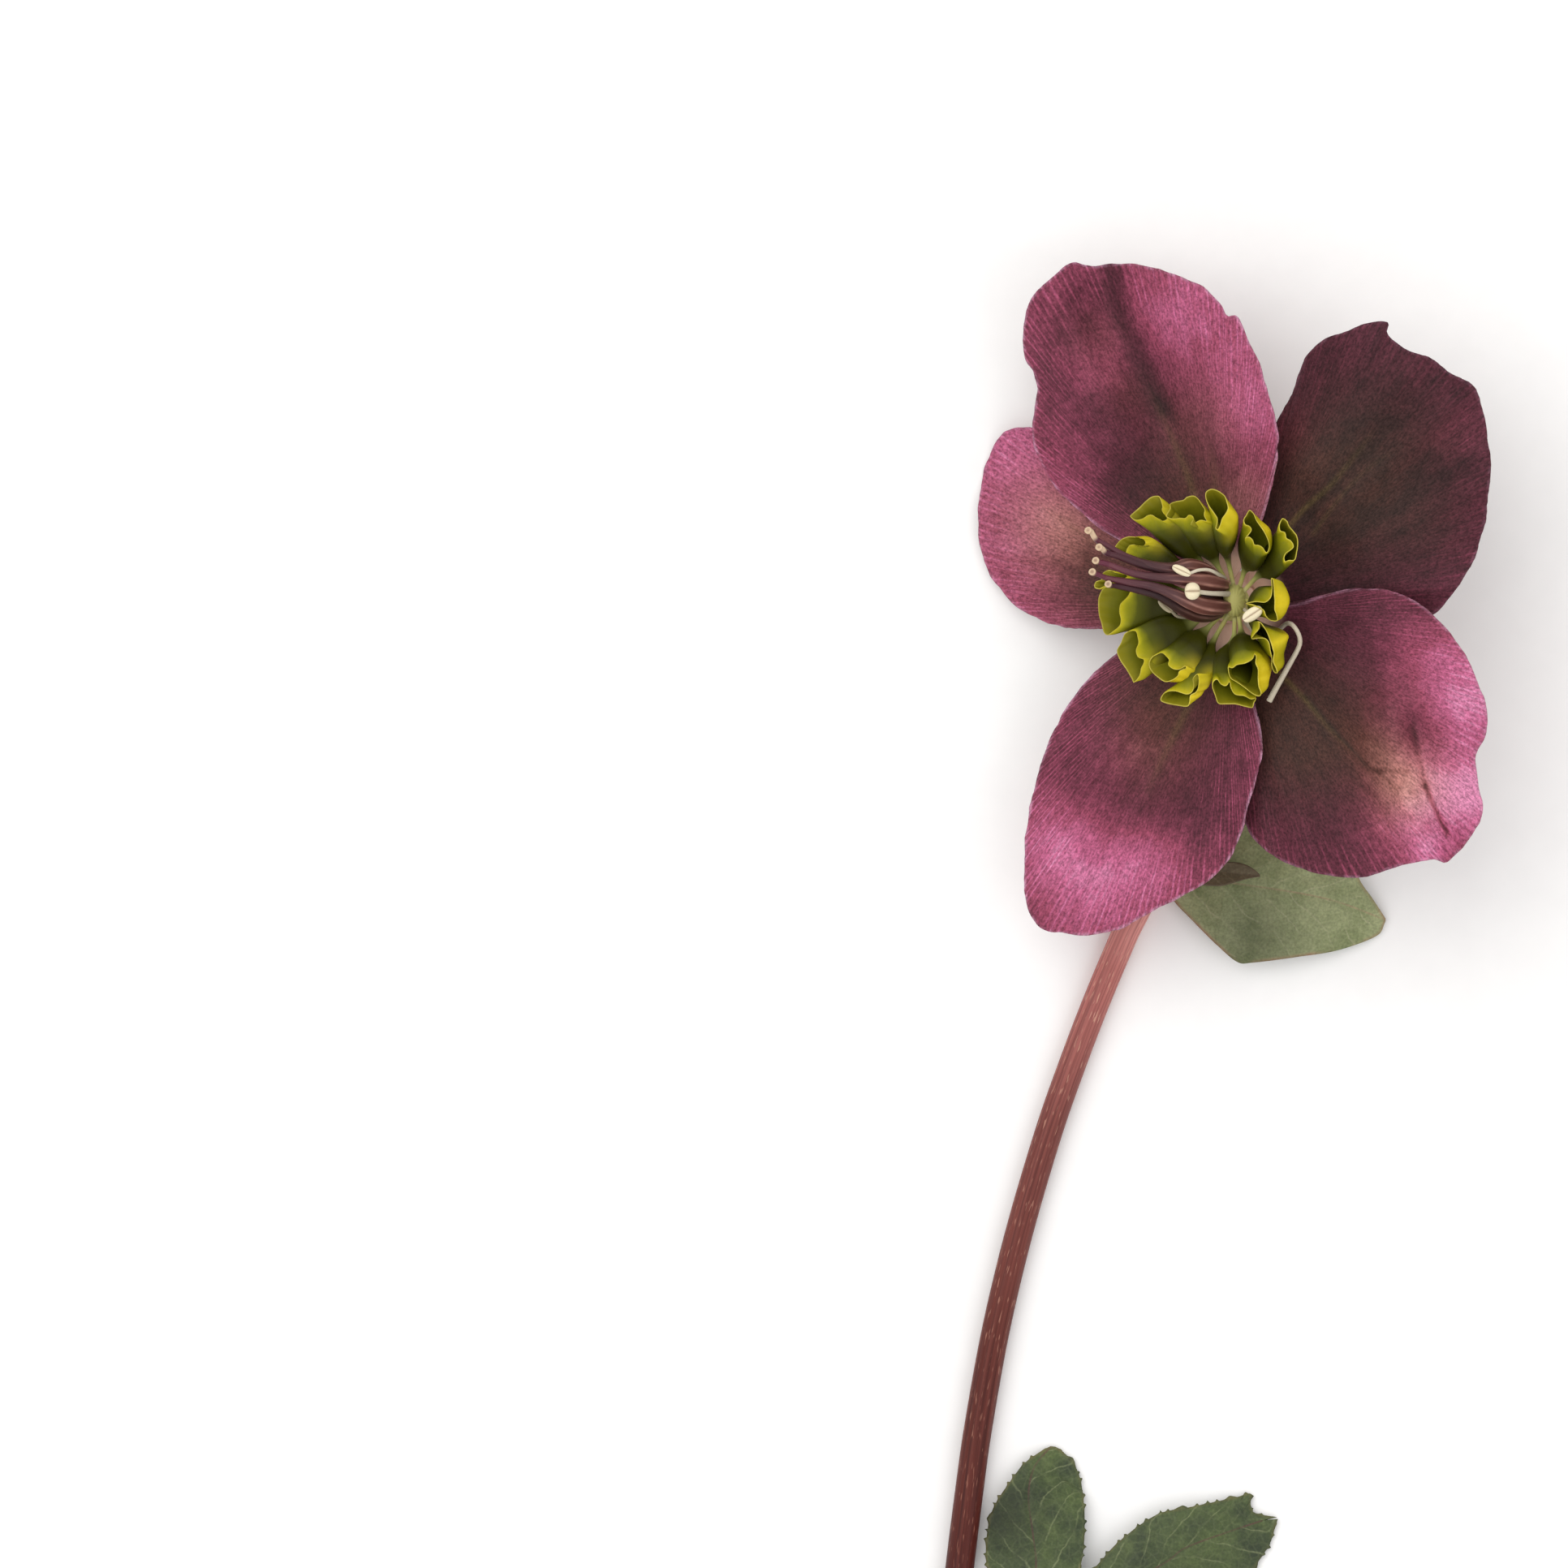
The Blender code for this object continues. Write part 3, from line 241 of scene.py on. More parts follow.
# Rims of the nectaries, seen from above, in steps of RIM_STEP to the right and down from the
# corner; roll: where the outer lip bulges past its rim (degrees, millimetres).
RIM_STEP = 0.1857
RIM_CORNER = (-18.54, 14.85)
NECTARIES = [
    {"rim": [(122.5, 64.5), (124, 65), (124.5, 69), (124.7, 74), (125, 79), (125, 84.5),
             (126.2, 87.5), (126.8, 91.8), (122.8, 91.8), (119.5, 89), (117.8, 85), (112, 82),
             (106.8, 80.6), (113, 79.2), (119, 79.6), (122.2, 77), (123.2, 73.5), (123, 69)],
     "roll": (0, 1.9)},
    {"rim": [(130.5, 25.8), (133.2, 27.5), (134.6, 30.8), (137.2, 34), (139.5, 37.2), (140.2, 42),
             (139.6, 47.5), (138.2, 52.8), (134.5, 53.2), (131.8, 54), (131, 51.2), (132.2, 48.2),
             (135, 46.2), (137, 44.4), (136.6, 42.2), (135, 40.2), (132.5, 38.8), (131.6, 35.2),
             (128.8, 34.2), (128, 30.8), (129, 27.5)], "roll": (10, 0.5)},
    {"rim": [(109, 20.5), (111.8, 22.8), (113.5, 27), (115.8, 30.5), (118.8, 35), (121.2, 40),
             (122, 44), (121.2, 47.2), (119.6, 48), (117.2, 44.8), (114.8, 43.4), (112, 43),
             (110.8, 39.8), (108.5, 38), (106.2, 38.8), (107.8, 36.6), (110, 33.5), (109, 31.2),
             (106.2, 30), (105.2, 26.8), (106.8, 23.8)], "roll": (28, 1.15)},
    {"rim": [(80.8, 10), (82, 8), (85, 6.8), (89, 8), (93, 11), (94.5, 15), (95.2, 19), (93.8, 22.5),
             (91.4, 26), (90.3, 30), (88.6, 33), (87, 32.2), (87.8, 29), (88.2, 26), (86.5, 23),
             (83, 18), (81.2, 14)], "roll": (-14, 1.3)},
    {"rim": [(55.5, 24), (58, 19.5), (58, 16.5), (62, 14.8), (66.5, 14), (69, 12), (73, 11.2),
             (76, 13), (79, 17.5), (80.5, 20), (80, 23.5), (81.5, 27.5), (77.5, 27),
             (74.5, 28.5), (72.2, 30), (71.5, 29), (72.8, 26.5), (72.2, 24.5), (70, 23.8),
             (68, 25.8), (64.5, 25.8), (60, 26.2), (57.5, 25.8)], "roll": (0, 0.5)},
    {"rim": [(32.5, 24.5), (34.5, 22.2), (38.5, 18.7), (42.5, 14.7), (46.5, 11.8), (50.8, 11.4),
             (52.2, 14), (53.2, 17.8), (52.8, 20.8), (54.8, 23.8), (56, 26.2), (53, 27.4),
             (50.8, 26.2), (48.5, 24.8), (45.5, 23.6), (43.2, 24.2), (40.5, 26), (35.5, 26.8)],
     "roll": (10, 0.5)},
    {"rim": [(22.8, 44.8), (24.8, 41.2), (27.5, 38.8), (31.2, 37.6), (35.5, 37.8), (40, 39),
             (42.2, 41.2), (40.5, 43.8), (36, 43.2), (32.5, 43), (30.5, 45.5), (29.2, 49),
             (26.2, 47)], "roll": (45, 0.8)},
    {"rim": [(9.5, 70), (10.5, 66.5), (14, 65), (15, 61), (19, 59), (24, 61), (30, 62.5),
             (29.5, 64), (23, 66.5), (16.5, 69), (12.5, 71.2)], "roll": (180, 0.1)},
    {"rim": [(12, 81), (12.5, 76), (15, 71), (18, 69.5), (26, 69.8), (32, 71.8), (31.5, 75),
             (29, 78), (26.2, 81), (25.5, 86), (26.5, 91), (25.5, 95), (21.5, 98.5), (18, 101),
             (15.5, 99), (14, 93), (12.5, 88)], "roll": (250, 0.1)},
    {"rim": [(24, 111), (26.5, 106), (29, 100), (32, 98.5), (36, 98.5), (37.2, 102), (37.8, 106),
             (36.2, 111), (37.5, 115), (41, 116.5), (41, 119), (39.5, 122), (38.5, 127),
             (35, 131.5), (33.5, 129), (30, 123), (26, 117)], "roll": (-40, 0.45)},
    {"rim": [(44.5, 119.5), (46, 115.5), (49, 113.5), (53, 112.5), (56, 115), (57.5, 117),
             (57, 120), (60, 122.5), (64, 122.5), (67.5, 120.5), (68, 122.5), (64, 124),
             (63, 127), (60, 129.5), (55, 131), (50, 128), (46, 124)], "roll": (-48, 1.2)},
    {"rim": [(52, 143), (53.5, 139), (57, 137), (62, 137), (69, 139), (72, 137), (73, 133),
             (72.5, 129), (75, 126), (76.2, 128), (76.2, 134), (74.5, 138), (71, 140),
             (70.5, 144), (69, 147), (62, 146.2), (56, 145)], "roll": (-15, 1.2)},
    {"rim": [(85, 134), (86, 130.5), (88.5, 129.5), (91, 132.5), (94, 133.5), (96.5, 131),
             (97.5, 135), (100, 139), (106, 140), (110, 142), (113.5, 141.5), (112, 145),
             (111, 147.8), (106, 147), (100, 145.5), (94, 145.5), (89, 145), (87, 140)],
     "roll": (-90, 0.15)},
    {"rim": [(95.5, 121.5), (98, 122), (101, 120), (106, 119), (110, 117), (111.5, 115),
             (112, 113), (113.5, 115), (113, 119), (114.5, 123), (114.5, 129), (115, 134),
             (116.5, 138.5), (115, 140.5), (111, 139), (106, 135), (101, 131.5), (97, 129),
             (95.5, 125)], "roll": (-5, 1.3)},
    {"rim": [(115.5, 92.5), (118.5, 95.5), (120.8, 100), (122.2, 105), (123.5, 109.5),
             (124.6, 113), (124.2, 118), (126.2, 122.5), (126.8, 125.6), (124.5, 124.8),
             (123, 120.5), (123.2, 116), (122.2, 111), (121.2, 106), (119, 103.5), (115, 103.2),
             (110.5, 103.6), (112.2, 100.2), (115, 96.8)], "roll": (14, 2.75)},
]

# A nectary's mouth lies this high along the axis; its wall's thickness; the points round it.
NECTARY_MOUTH = 8.2
NECTARY_WALL = 0.1
NECTARY_SIDES = 96
NECTARY_SEED = 40

# Carpels from pod to stigma, with the radius at each point.
CARPELS = [
    [(-1.7, 2.7, 20.0, 0.6), (-3.4, 3.9, 22.3, 0.74), (-5.5, 4.4, 24.1, 0.82), (-7.6, 4.1, 25.4, 0.66),
     (-10.5, 4.5, 27.2, 0.58), (-13.0, 5.4, 28.6, 0.48), (-15.2, 6.7, 29.7, 0.36),
     (-16.6, 7.5, 30.3, 0.34), (-17.2, 8.4, 30.6, 0.32)],
    [(-1.3, 2.0, 20.0, 0.7), (-4.6, 3.4, 22.8, 0.95), (-8.5, 3.9, 25.8, 0.6),
     (-11.5, 4.6, 27.9, 0.5), (-14.0, 5.5, 29.4, 0.4), (-15.4, 5.9, 30.2, 0.34),
     (-15.9, 6.4, 30.6, 0.32)],
    [(-1.2, 2.1, 20.6, 0.75), (-2.3, 2.35, 21.8, 1.0), (-3.9, 2.6, 23.1, 1.05), (-5.7, 2.8, 24.5, 0.85),
     (-8.1, 2.9, 26.1, 0.6), (-10.7, 3.15, 27.7, 0.5), (-13.0, 3.7, 29.0, 0.42),
     (-14.8, 4.4, 29.9, 0.36), (-15.8, 4.7, 30.5, 0.32), (-16.3, 4.8, 30.7, 0.3)],
    [(-0.9, -0.5, 20.5, 0.75), (-2.2, -0.5, 21.7, 0.98), (-3.9, -0.3, 23.0, 1.05),
     (-5.6, 0.25, 24.3, 0.92), (-7.6, 1.1, 25.8, 0.68), (-10.0, 1.95, 27.4, 0.52),
     (-12.9, 2.45, 28.9, 0.42), (-15.2, 2.85, 29.9, 0.34), (-16.3, 3.3, 30.5, 0.3),
     (-16.7, 3.45, 30.7, 0.3)],
    [(-1.6, -1.0, 19.0, 0.7), (-3.2, -1.35, 19.9, 0.95), (-5.0, -1.15, 21.3, 1.0),
     (-6.8, -0.4, 23.2, 0.8), (-9.2, 0.8, 25.9, 0.52), (-12.0, 1.55, 28.0, 0.42),
     (-14.2, 1.95, 29.5, 0.32), (-14.8, 2.0, 30.0, 0.3)],
]

# How bright each carpel is beside the others, as painted light and shade: the lowest carpel and the one
# behind are darker, the front ones lighter; and where along it its pale tip begins.
CARPEL_PAINTED_SHADING = [0.9, 0.6, 1.15, 1.05, 0.42]
CARPEL_TIP = [0.915, 0.935, 0.97, 0.97, 0.97]

# Stamens: the filament from its root to the anther, half its width; the anther's middle, its
# length, its width and the way its groove runs.
STAMENS = [
    ([(-1.2, 2.9, 20.6), (-2.3, 3.55, 23.6), (-3.2, 3.9, 24.7), (-4.4, 3.85, 25.5),
      (-5.5, 3.5, 26.1)], 0.2, (-6.4, 3.8, 26.4), 2.4, 1.0, (-0.9, 0.42, 0.12)),
    ([(-0.6, 1.0, 20.4), (-1.8, 1.05, 22.7), (-3.0, 1.1, 24.0), (-4.3, 1.25, 25.2)],
     0.28, (-5.1, 1.35, 25.9), 1.85, 2.05, (-0.97, -0.02, 0.25)),
    ([(-2.6, -1.2, 18.4), (-5.0, -1.7, 20.2), (-6.7, -1.7, 21.6), (-7.6, -1.0, 22.7)],
     0.2, (-8.3, -0.4, 23.3), 2.2, 0.95, (-0.72, 0.66, 0.2)),
    ([(1.0, -0.7, 19.0), (1.5, -1.1, 22.0), (1.9, -1.35, 25.2)],
     0.2, (2.08, -1.4, 26.6), 2.65, 1.45, (0.83, 0.55, 0.1)),
]
# How much of each stamen's own colour stays, the rest going dark olive: painted shade on the third stamen,
# which lies under the styles, and a little on the bare filament.
STAMEN_PAINTED_SHADE = [1.0, 1.0, 0.34, 1.0, 0.9]
BARE_FILAMENT = [
    (1.2, -2.2, 17.0), (3.0, -4.0, 18.0), (4.9, -3.7, 19.2), (5.7, -2.9, 21.6), (6.25, -2.5, 23.0),
    (6.8, -2.65, 23.8), (7.35, -3.3, 24.0), (7.75, -4.3, 23.6), (7.6, -5.4, 23.2),
    (6.3, -7.8, 22.6), (4.9, -10.3, 22.0),
    (4.1, -11.8, 21.6),
]

# The stem: how thick it is at the top and at the foot, how deep its flat underside is cut, and its
# middle line. Where no height is given it lies on the floor.
STEM_TOP = 3.2
STEM_FOOT = 3.5
FLAT_DEPTH = 0.2
STEM_LINE = [
    (3.0, -1.9, 9.4), (3.9, -4.6, 5.8), (3.3, -9.2, 2.7), (-0.3, -15.5, None),
    (-4.2, -22.8, None), (-8.2, -30.3, None), (-12.0, -37.6, None), (-13.4, -40.5, None),
    (-16.65, -48.25, None), (-19.6, -56.0, None), (-22.3, -63.8, None), (-25.7, -75.4, None),
    (-28.5, -87.1, None), (-30.6, -98.7, None), (-31.7, -106.5, None), (-32.8, -115.3, None),
    (-33.5, -122.0, None), (-34.3, -130.8, None),
]

# Leaf-like blades: each margin runs from the base to the tip. rise: heights of the rib, evenly along
# it. droop: how fast the blade falls off beside it. shade: soft dark spots (x, y, reach, amount).
BRACT_GREEN = {
    "rib": [(-7.4, -32.7), (0.0, -33.6), (8.0, -34.8), (13.0, -36.0), (18.2, -38.0)],
    "left": [(-6.8, -31.9), (-4.6, -29.2), (-1.2, -25.6), (3.0, -23.5), (9.0, -25.5), (14.0, -29.5),
             (15.0, -33.0), (16.6, -35.4), (18.2, -37.8)],
    "right": [(-7.6, -33.7), (-7.2, -35.6), (-5.0, -38.0), (-2.0, -41.0), (0.4, -43.0),
              (2.3, -43.1), (7.7, -42.4), (12.5, -41.6), (17.1, -39.9), (18.2, -38.2)],
    "rise": [1.7, 4.3, 4.9, 3.4, 0.7],
    "droop": 0.045,
    "shade": [(1.5, -40.5, 6.5, 0.42), (6.0, -41.0, 9.0, 0.16)],
}
BRACT_DARK = {
    "rib": [(-7.6, -32.1), (-4.0, -32.3), (0.0, -32.4), (3.1, -32.7)],
    "left": [(-7.4, -31.0), (-5.0, -30.6), (-1.1, -31.0), (0.4, -31.1), (1.7, -31.5), (2.6, -32.1),
             (3.1, -32.6)],
    "right": [(-7.6, -33.3), (-4.0, -33.8), (-1.6, -33.9), (-0.3, -33.6), (1.8, -33.0),
              (3.1, -32.8)],
    "shade": [],
}
LEAFLET_A = {
    "rib": [(-31.2, -125.0), (-26.8, -122.0), (-24.4, -118.6), (-23.7, -115.3), (-24.1, -111.4),
            (-24.6, -107.0), (-23.9, -103.6), (-21.9, -101.1)],
    "left": [(-30.4, -124.0), (-27.6, -121.0), (-28.0, -118.0), (-29.6, -115.4), (-29.8, -113.5),
             (-29.5, -110.5), (-28.8, -108.2), (-27.2, -105.7), (-25.3, -103.2), (-23.4, -101.8),
             (-22.0, -101.1)],
    "right": [(-30.4, -125.5), (-25.0, -123.7), (-21.5, -121.0), (-18.7, -116.4),
              (-17.9, -113.3), (-17.8, -108.8), (-18.3, -104.9), (-19.4, -102.7), (-21.0, -101.3),
              (-21.8, -101.1)],
    "rise": [1.7, 2.6, 3.4, 3.7, 3.4, 2.6, 1.5, 0.5],
    "droop": 0.07,
    "shade": [(-28.0, -109.5, 5.0, 0.66), (-26.0, -121.0, 4.0, 0.3)],
}
LEAFLET_B = {
    "rib": [(-31.2, -125.4), (-24.4, -123.5), (-17.6, -120.6), (-12.0, -117.2), (-7.9, -114.8),
            (-5.9, -113.3), (-2.0, -111.8), (3.4, -110.0)],
    "left": [(-30.4, -124.7), (-24.0, -121.6), (-20.0, -118.9), (-16.7, -115.5), (-13.7, -112.3),
             (-9.3, -109.2), (-5.4, -108.3), (-0.1, -107.2), (2.1, -106.7), (2.3, -108.8),
             (5.2, -109.6)],
    "right": [(-30.4, -126.2), (-25.0, -125.0), (-18.0, -124.0), (-12.0, -123.5), (-6.0, -122.0),
              (-1.5, -119.5), (1.5, -117.0), (2.8, -115.3), (3.7, -114.0), (4.4, -113.0),
              (4.8, -111.6), (5.3, -109.8)],
    "rise": [1.7, 2.4, 3.2, 3.4, 3.0, 2.6, 1.9, 0.6],
    "droop": 0.05,
    "shade": [(-2.0, -116.0, 7.0, 0.16), (-12.0, -119.0, 7.0, 0.2)],
}

# Blades, in millimetres: from tooth to tooth, how long a tooth is, from side vein to side vein, how
# thick the rim is and how much thicker the middle. A side vein runs VEIN_SLANT forward for each
# millimetre outward, and those on the right are shifted by VEIN_STAGGER of a pitch.
TOOTH = 1.5
TOOTH_LENGTH = 0.38
TOOTH_SEED = 7
VEIN_PITCH = 4.4
SMALL_VEIN_PITCH = 2.0
VEIN_SLANT = 1.5
VEIN_STAGGER = 0.45
LEAF_RIM = 0.16
LEAF_SWELL = 0.18

# Sepals, in millimetres: how thick the rim is, and how much thicker the sheet gets over what width;
# how far the pink of the rim and the pale claw fade out; over what length its waves set in.
# Waves of the margin are (height, pitch), and those of the surface (height, pitch, power along it).
SEPAL_RIM = 0.2
SEPAL_SWELL = 0.24
SWELL_WIDTH = 3.0
RIM_PINK_WIDTH = 3.0
CLAW_FADE = 2.2
WAVE_TAPER = 6.0
SEPAL_LENGTH = 40.0
MARGIN_WAVES = [(0.05, 4.0), (0.02, 1.4)]
SURFACE_WAVES = [(0.16, 7.0, 3), (0.03, 1.6, 2)]

# How finely things are drawn: a sepal's grid, points between two marks of an outline or of a soft
# line, sides of a round body. One unit of a sheet's texture coordinates is SHEET_UV millimetres.
SEPAL_ROWS = 96
SEPAL_COLUMNS = 210
EDGE_STEPS = 10
STREAK_STEPS = 4
ROUND_SIDES = 60
SHEET_UV = 100.0
TINY = 1e-12


def linear(hex_colour):
    """An sRGB hex colour as linear red, green, blue and alpha."""
    parts = [int(hex_colour[i:i + 2], 16) / 255.0 for i in (1, 3, 5)]
    return tuple(c / 12.92 if c <= 0.04045 else ((c + 0.055) / 1.055) ** 2.4 for c in parts) + (1.0,)


def grain(size_mm):
    """Texture scale that gives features of this size in object coordinates."""
    return 1.0 / (size_mm * MM)


def grown(across, along):
    """Texture scale that gives this many features to the millimetre across and along the growth."""
    return (across * SHEET_UV, along * SHEET_UV, 1.0)


def span(value, start, end, low, high):
    """Inputs of a range in which the value, from start to end, becomes low to high."""
    return {"Value": value, "From Min": start, "From Max": end, "To Min": low, "To Max": high}


def cloud(place, scale, detail, roughness=0.5, distortion=0.0):
    """Inputs of a noise pattern."""
    return {"Vector": place, "Scale": scale, "Detail": detail, "Roughness": roughness,
            "Distortion": distortion}


def add(tree, kind, inputs, output=0, stops=(), **settings):
    """Adds a node, makes its settings, links or fills its inputs, and gives one of its outputs."""
    node = tree.nodes.new("ShaderNode" + kind)
    for key, value in settings.items():
        setattr(node, key, value)
    for key, value in inputs.items():
        if isinstance(value, bpy.types.NodeSocket):
            tree.links.new(value, node.inputs[key])
        else:
            node.inputs[key].default_value = linear(value) if isinstance(value, str) else value
    for i, (place, colour) in enumerate(stops):
        elements = node.color_ramp.elements
        element = elements[i] if i < len(elements) else elements.new(1.0)
        element.position = place
        element.color = linear(colour)
    return node.outputs[output]


def weighed(tree, base, *terms):
    """The base value and, added to it, each term's value times its weight."""
    for value, weight in terms:
        base = add(tree, "Math", {0: value, 1: weight, 2: base}, operation="MULTIPLY_ADD")
    return base


def product(tree, value, *factors):
    """The value times each of the factors."""
    for factor in factors:
        value = add(tree, "Math", {0: value, 1: factor}, operation="MULTIPLY")
    return value


def coated(tree, colour, *coats):
    """The colour with coats over it; a coat is its share, its tint and, if it isn't a mix, its blend."""
    for share, tint, *blend in coats:
        colour = add(tree, "Mix", {0: share, 6: colour, 7: tint}, 2, data_type="RGBA",
                     blend_type=blend[0] if blend else "MIX")
    return colour


def start_material(name, *stored):
    """An empty material, its nodes and the values that its pieces store under these names."""
    made = bpy.data.materials.new(name)
    made.use_nodes = True
    tree = made.node_tree
    tree.nodes.clear()
    return made, tree, *(add(tree, "Attribute", {}, "Fac", attribute_name=key) for key in stored)


def end_material(made, colour, skin_inputs, height=None, strength=0.0, depth=0.0, glow=0.0):
    """Gives a material its bumps, depth millimetres deep, its shader and the light that shines through."""
    tree = made.node_tree
    bumps = {}
    if height is not None:
        bumps["Normal"] = add(tree, "Bump", {"Height": height, "Strength": strength,
                                             "Distance": depth * MM})
    shader = add(tree, "BsdfPrincipled", {"Base Color": colour, **skin_inputs, **bumps})
    if glow:
        through = add(tree, "BsdfTranslucent", {"Color": colour})
        shader = add(tree, "MixShader", {0: glow, 1: shader, 2: through})
    tree.links.new(shader, tree.nodes.new("ShaderNodeOutputMaterial").inputs[0])
    return made


def smooth_line(points, steps=12):
    """Catmull-Rom line through the points."""
    points = np.array(points, float)
    out = []
    for i in range(len(points) - 1):
        b, c = points[i], points[i + 1]
        a = points[i - 1] if i else 2 * b - c
        d = points[i + 2] if i + 2 < len(points) else 2 * c - b
        for s in range(steps):
            t = s / steps
            out.append(
                0.5 * ((2 * b) + (c - a) * t + (2 * a - 5 * b + 4 * c - d) * t * t
                       + (3 * b - a - 3 * c + d) * t ** 3)
            )
    out.append(points[-1])
    return np.array(out)


def evenly(line, count):
    """The same line with points at equal steps."""
    length = np.concatenate([[0.0], np.cumsum(np.linalg.norm(np.diff(line, axis=0), axis=1))])
    wanted = np.linspace(0.0, length[-1], count)
    return np.stack([np.interp(wanted, length, line[:, k]) for k in range(line.shape[1])], axis=1)


def line_length(line):
    """Length of a line along its points."""
    return float(np.linalg.norm(np.diff(line, axis=0), axis=1).sum())


def unit(vector):
    """The vector's direction."""
    return vector / np.linalg.norm(vector)


def headings(line):
    """The direction of a line at each of its points."""
    way = np.gradient(line, axis=0)
    return way / np.linalg.norm(way, axis=1)[:, None]


def outward(line):
    """Unit steps in plan that point to the left of the way a line runs."""
    return headings(line)[:, ::-1] * (-1.0, 1.0)


def nearest(points, line):
    """Distance of each point from a line in plan, and how far along it the nearest spot is."""
    points = np.atleast_2d(points)[:, :2]
    line = np.array(line, float)[:, :2]
    best = np.full(len(points), np.inf)
    where = np.zeros(len(points))
    run = 0.0
    for a, b in zip(line[:-1], line[1:]):
        along = b - a
        size = float(np.linalg.norm(along)) or TINY
        t = np.clip(((points - a) @ along) / (size * size), 0.0, 1.0)
        far = np.linalg.norm(points - (a + t[:, None] * along), axis=1)
        closer = far < best
        best = np.where(closer, far, best)
        where = np.where(closer, run + t * size, where)
        run += size
    return best, where / run


def spots(points, marks):
    """Sum of soft round spots at each plan point; a mark is its x, its y, its reach and its amount."""
    total = np.zeros(len(points))
    for x, y, reach, amount in marks:
        far = (points[:, 0] - x) ** 2 + (points[:, 1] - y) ** 2
        total = total + amount * np.exp(-far / reach ** 2)
    return total


def streaks(points, marks, fading=0.0):
    """Sum of soft lines at each plan point; a mark is its line, its width and its amount."""
    total = np.zeros(len(points))
    for line, width, amount in marks:
        far, where = nearest(points, smooth_line(line, STREAK_STEPS))
        total = total + amount * (1.0 - fading * where) * np.exp(-((far / width) ** 2))
    return total


def waves(values, seed, pitch, count=5):
    """Smooth seeded noise along one value, about one unit high, with waves near the pitch."""
    rng = random.Random(seed)
    total = np.zeros_like(values)
    for _ in range(count):
        stretch = rng.uniform(0.6, 1.7)
        total = total + np.sin(2 * math.pi * values / (pitch * stretch) + rng.uniform(0, 6.28))
    return total / math.sqrt(count)


def around(sides):
    """Angles at equal steps round a full turn."""
    return np.arange(sides) * 2 * math.pi / sides


def from_bloom(p, q, h):
    """Bloom axes to floor axes: p to the right, q towards the top, h along the bloom's axis."""
    return (p * COS_T - h * SIN_T, q, BLOOM_Z + p * SIN_T + h * COS_T)


def sepal_height(sepal, points):
    """Height of the sheet over the floor at each plan point."""
    x, y = points[:, 0], points[:, 1]
    reach = np.hypot(x, y)
    loose = np.clip((reach - 5.0) / 9.0, 0.0, 1.0)
    ripple = 0.35 * np.sin(0.33 * x + 0.9) * np.sin(0.29 * y + 0.4)
    folds = streaks(points, [(line, width, height) for line, height, width in sepal["folds"]])
    bend = sepal["cup"] * (reach / SEPAL_LENGTH) ** 2 * 2.0 + loose * (folds + ripple)
    return BLOOM_Z + math.tan(TILT) * x + (sepal["layer"] * LAYER + bend) / COS_T


def mesh_piece(name, verts, faces, surface, uvs=None, values=None):
    """A shaded piece from points in millimetres, with texture coordinates and stored values."""
    data = bpy.data.meshes.new(name)
    shift = np.array((*BLOOM_MIDDLE, 0.0))
    data.from_pydata(((np.array(verts, float) + shift) * MM).tolist(), [], faces)
    data.materials.append(surface)
    if uvs is not None:
        layer = data.uv_layers.new(name="grow")
        corners = np.zeros(len(data.loops), int)
        data.loops.foreach_get("vertex_index", corners)
        layer.data.foreach_set("uv", np.array(uvs, float)[corners].ravel())
    for key, value in (values or {}).items():
        store = data.attributes.new(key, "FLOAT", "POINT")
        store.data.foreach_set("value", np.ones(len(verts)) * value)
    data.shade_smooth()
    made = bpy.data.objects.new(name, data)
    bpy.context.scene.collection.objects.link(made)
    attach(made, "root")
    return made


def sheet_faces(rows, cols):
    """Quads of a closed sheet: its upper side, its under side and the rim between them."""
    count = rows * cols
    faces = []
    for r in range(rows - 1):
        for c in range(cols - 1):
            a = r * cols + c
            b, d, e = a + 1, a + cols, a + cols + 1
            faces.append((a, b, e, d))
            faces.append((count + a, count + d, count + e, count + b))
    ring = list(range(cols))
    ring += [r * cols + cols - 1 for r in range(1, rows)]
    ring += [(rows - 1) * cols + c for c in range(cols - 2, -1, -1)]
    ring += [r * cols for r in range(rows - 2, 0, -1)]
    for a, b in zip(ring, ring[1:] + ring[:1]):
        faces.append((b, a, count + a, count + b))
    return faces


def sheet_piece(name, grid, thick, surface, uvs, values):
    """A thin sheet from a grid of its middle surface; thick is its thickness at each point."""
    rows, cols = grid.shape[:2]
    normal = np.cross(np.gradient(grid, axis=1), np.gradient(grid, axis=0))
    normal = normal / (np.linalg.norm(normal, axis=2)[:, :, None] + TINY)
    if normal[:, :, 2].mean() < 0:
        normal = -normal
    half = normal * thick.reshape(rows, cols, 1) / 2
    verts = np.vstack([(grid + half).reshape(-1, 3), (grid - half).reshape(-1, 3)])
    faces = sheet_faces(rows, cols)
    a, b, c = (verts[faces[0][k]] for k in range(3))
    if np.cross(b - a, c - a)[2] < 0:
        faces = [tuple(reversed(f)) for f in faces]
    both = {key: np.concatenate([value, value]) for key, value in values.items()}
    both["under"] = np.repeat([0.0, 1.0], rows * cols)
    return mesh_piece(name, verts, faces, surface, np.vstack([uvs, uvs]), both)


def frames(line, start):
    """Two cross directions at each point of a line, carried along without twist."""
    across = np.array(start, float)
    result = []
    for way in headings(line):
        across = unit(across - way * float(across @ way))
        result.append((across, np.cross(way, across)))
    return result


def oval(turns, u, v, wide=1.0, high=1.0):
    """A ring in the plane of two directions, of this size along each of them."""
    return (wide * np.cos(turns))[:, None] * u + (high * np.sin(turns))[:, None] * v


def tilted_ring(turns, middle, wide, high, dip):
    """An oval ring round a middle that dips this much on its right and rises as much on its left."""
    x, y, z = middle
    return np.stack([x + wide * np.cos(turns), y + high * np.sin(turns), z - dip * np.cos(turns)], axis=1)


